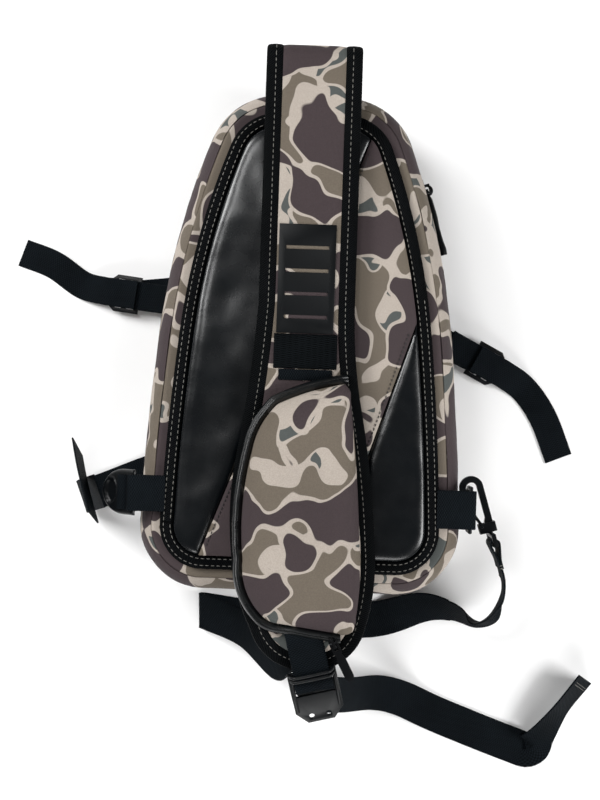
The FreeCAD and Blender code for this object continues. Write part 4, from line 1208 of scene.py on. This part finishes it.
def make_strap_lock():
    """The strap's ladder lock, with rounded rails and two raised ridges over its end bar."""
    moulded("strap_ladder_lock_moulding", "strap_ladder_lock", PLASTIC, 1.2 * MM, "strap_lock", 3)
    bend = placed(STRAP_LOCK)
    for number, along in enumerate((0.4, -3.4)):
        spots = [(-18.0, along, 0.8), (-16.9, along, 4.2), (-14.3, along, 7.0), (0, along, 7.4)]
        spots += [(-x, y, z) for x, y, z in spots[-2::-1]]
        path = bend(resampled(millimetres(spots), 1.5 * MM, closed=False))
        side = np.tile(bend(np.array([[0, 1.0, 0]])) - bend(np.zeros((1, 3))), (len(path), 1))
        up = np.cross(heading(path, closed=False), side)
        section = round_section(12, 1.5 * MM)
        finished(sweep(f"strap_lock_ridge_{number}", path, side, up, section, PLASTIC), "strap_lock")
    for number, across in enumerate((-18.2, 18.2)):
        spots = [(across, 2.0, 0.6), (across, -8.0, 1.2), (across, -20.0, 1.4), (across * 0.97, -33.0, 0.4)]
        path = bend(resampled(millimetres(spots), 2 * MM, closed=False))
        rail = round_rod(f"strap_lock_rail_{number}", path, np.full(len(path), 2.0 * MM), PLASTIC)
        finished(rail, "strap_lock")


# Radius of the main pull's grip, in millimetres, at shares of its length.
PULL_SHARES = [0.0, 0.1, 0.16, 0.42, 0.6, 0.78, 0.92, 1.0]
PULL_RADII = [1.0, 1.2, 2.5, 3.0, 2.3, 2.6, 3.5, 2.9]


def make_main_pull():
    """The main zipper's moulded pull: a ring, a grip and a flared end."""
    start = np.array(joint_place("main_pull_swing"))
    low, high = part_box("main_zipper_pull")
    end = np.array([high.x - 3 * MM, low.y + 2 * MM, start[2]])
    share = np.linspace(0, 1, 30)
    path = start + (end - start) * share[:, None]
    radii = np.interp(share, PULL_SHARES, PULL_RADII) * MM
    grip = round_rod("main_zipper_pull_grip", path, radii, PLASTIC)
    finished(grip, "main_pull", "main_zipper_pull")
    out = np.column_stack([round_section(28, 1.0), np.zeros(28)])
    ring = start + out * 4.2 * MM + unit(end - start) * 1.5 * MM
    up = np.tile([0.0, 0.0, 1.0], (28, 1))
    hoop = sweep("main_zipper_pull_ring", ring, out, up, round_section(10, 1.0 * MM), METAL, True)
    finished(hoop, "main_pull")


def make_hook_webbing():
    """Webbing folded round the lower bar of the hook's eye, which stands upright."""
    bar = hook_place((HOOK_SWIVEL_X, EYE_BAR_Y, 0.0))
    upright = Matrix.Rotation(HOOK_TURN + math.pi, 4, "Z") @ Matrix.Rotation(math.pi / 2, 4, "Y")
    place = Matrix.Translation(bar) @ upright
    wrap = ribbon("hook_webbing_wrap", loop_run(place, 21 * MM, 4.2 * MM, 13 * MM), LOCK_WIDE)
    finished(wrap, "hook_eye", "hook_webbing_end")
    middle = np.array(place @ Vector((-15.2 * MM, 19 * MM, 0)))
    across = np.array(place.to_3x3().col[2])
    cross_stitches("hook_webbing_stitching", middle, across, np.array([0.0, 0.0, 1.0]), 1.7 * MM, "hook_eye")


# CAD pieces whose edges only need rounding, with their bodies and the rounding in millimetres.
PLASTIC_PIECES = [
    ("left_side_lock", "left_side_buckle", 0.9),
    ("right_side_lock", "right_side_buckle", 0.9),
    ("snap_hook", "hook", 1.2),
    ("snap_hook_gate", "hook_gate", 0.7),
    ("hook_swivel_eye", "hook_eye", 0.8),
]
METAL_PIECES = [
    ("corner_ring", "ring", 1.1),
    ("main_zipper_slider", "main_slider", 0.4),
    ("pocket_zipper_slider", "pocket_slider", 0.4),
    ("front_zipper_slider", "front_slider", 0.4),
    ("pocket_zipper_puller", "pocket_puller", 0.45),
    ("front_zipper_puller", "front_puller", 0.45),
    ("gate_pin", "hook", 0.3),
]
LINING_PIECES = [("inner_pocket", "bag_body", 0.8)]


def make_hardware():
    for look, pieces in ((PLASTIC, PLASTIC_PIECES), (METAL, METAL_PIECES), (LINING, LINING_PIECES)):
        for source, body, round_by in pieces:
            moulded(source + "_moulding", source, look, round_by * MM, body, 3)
    make_left_lock()
    make_strap_lock()
    make_main_pull()
    make_hook_webbing()


make_body()
make_front_pocket()
make_back_pads()
make_binding()
make_main_zipper()
make_strap()
make_strap_pocket()
make_tabs()
make_webbing()
make_hardware()
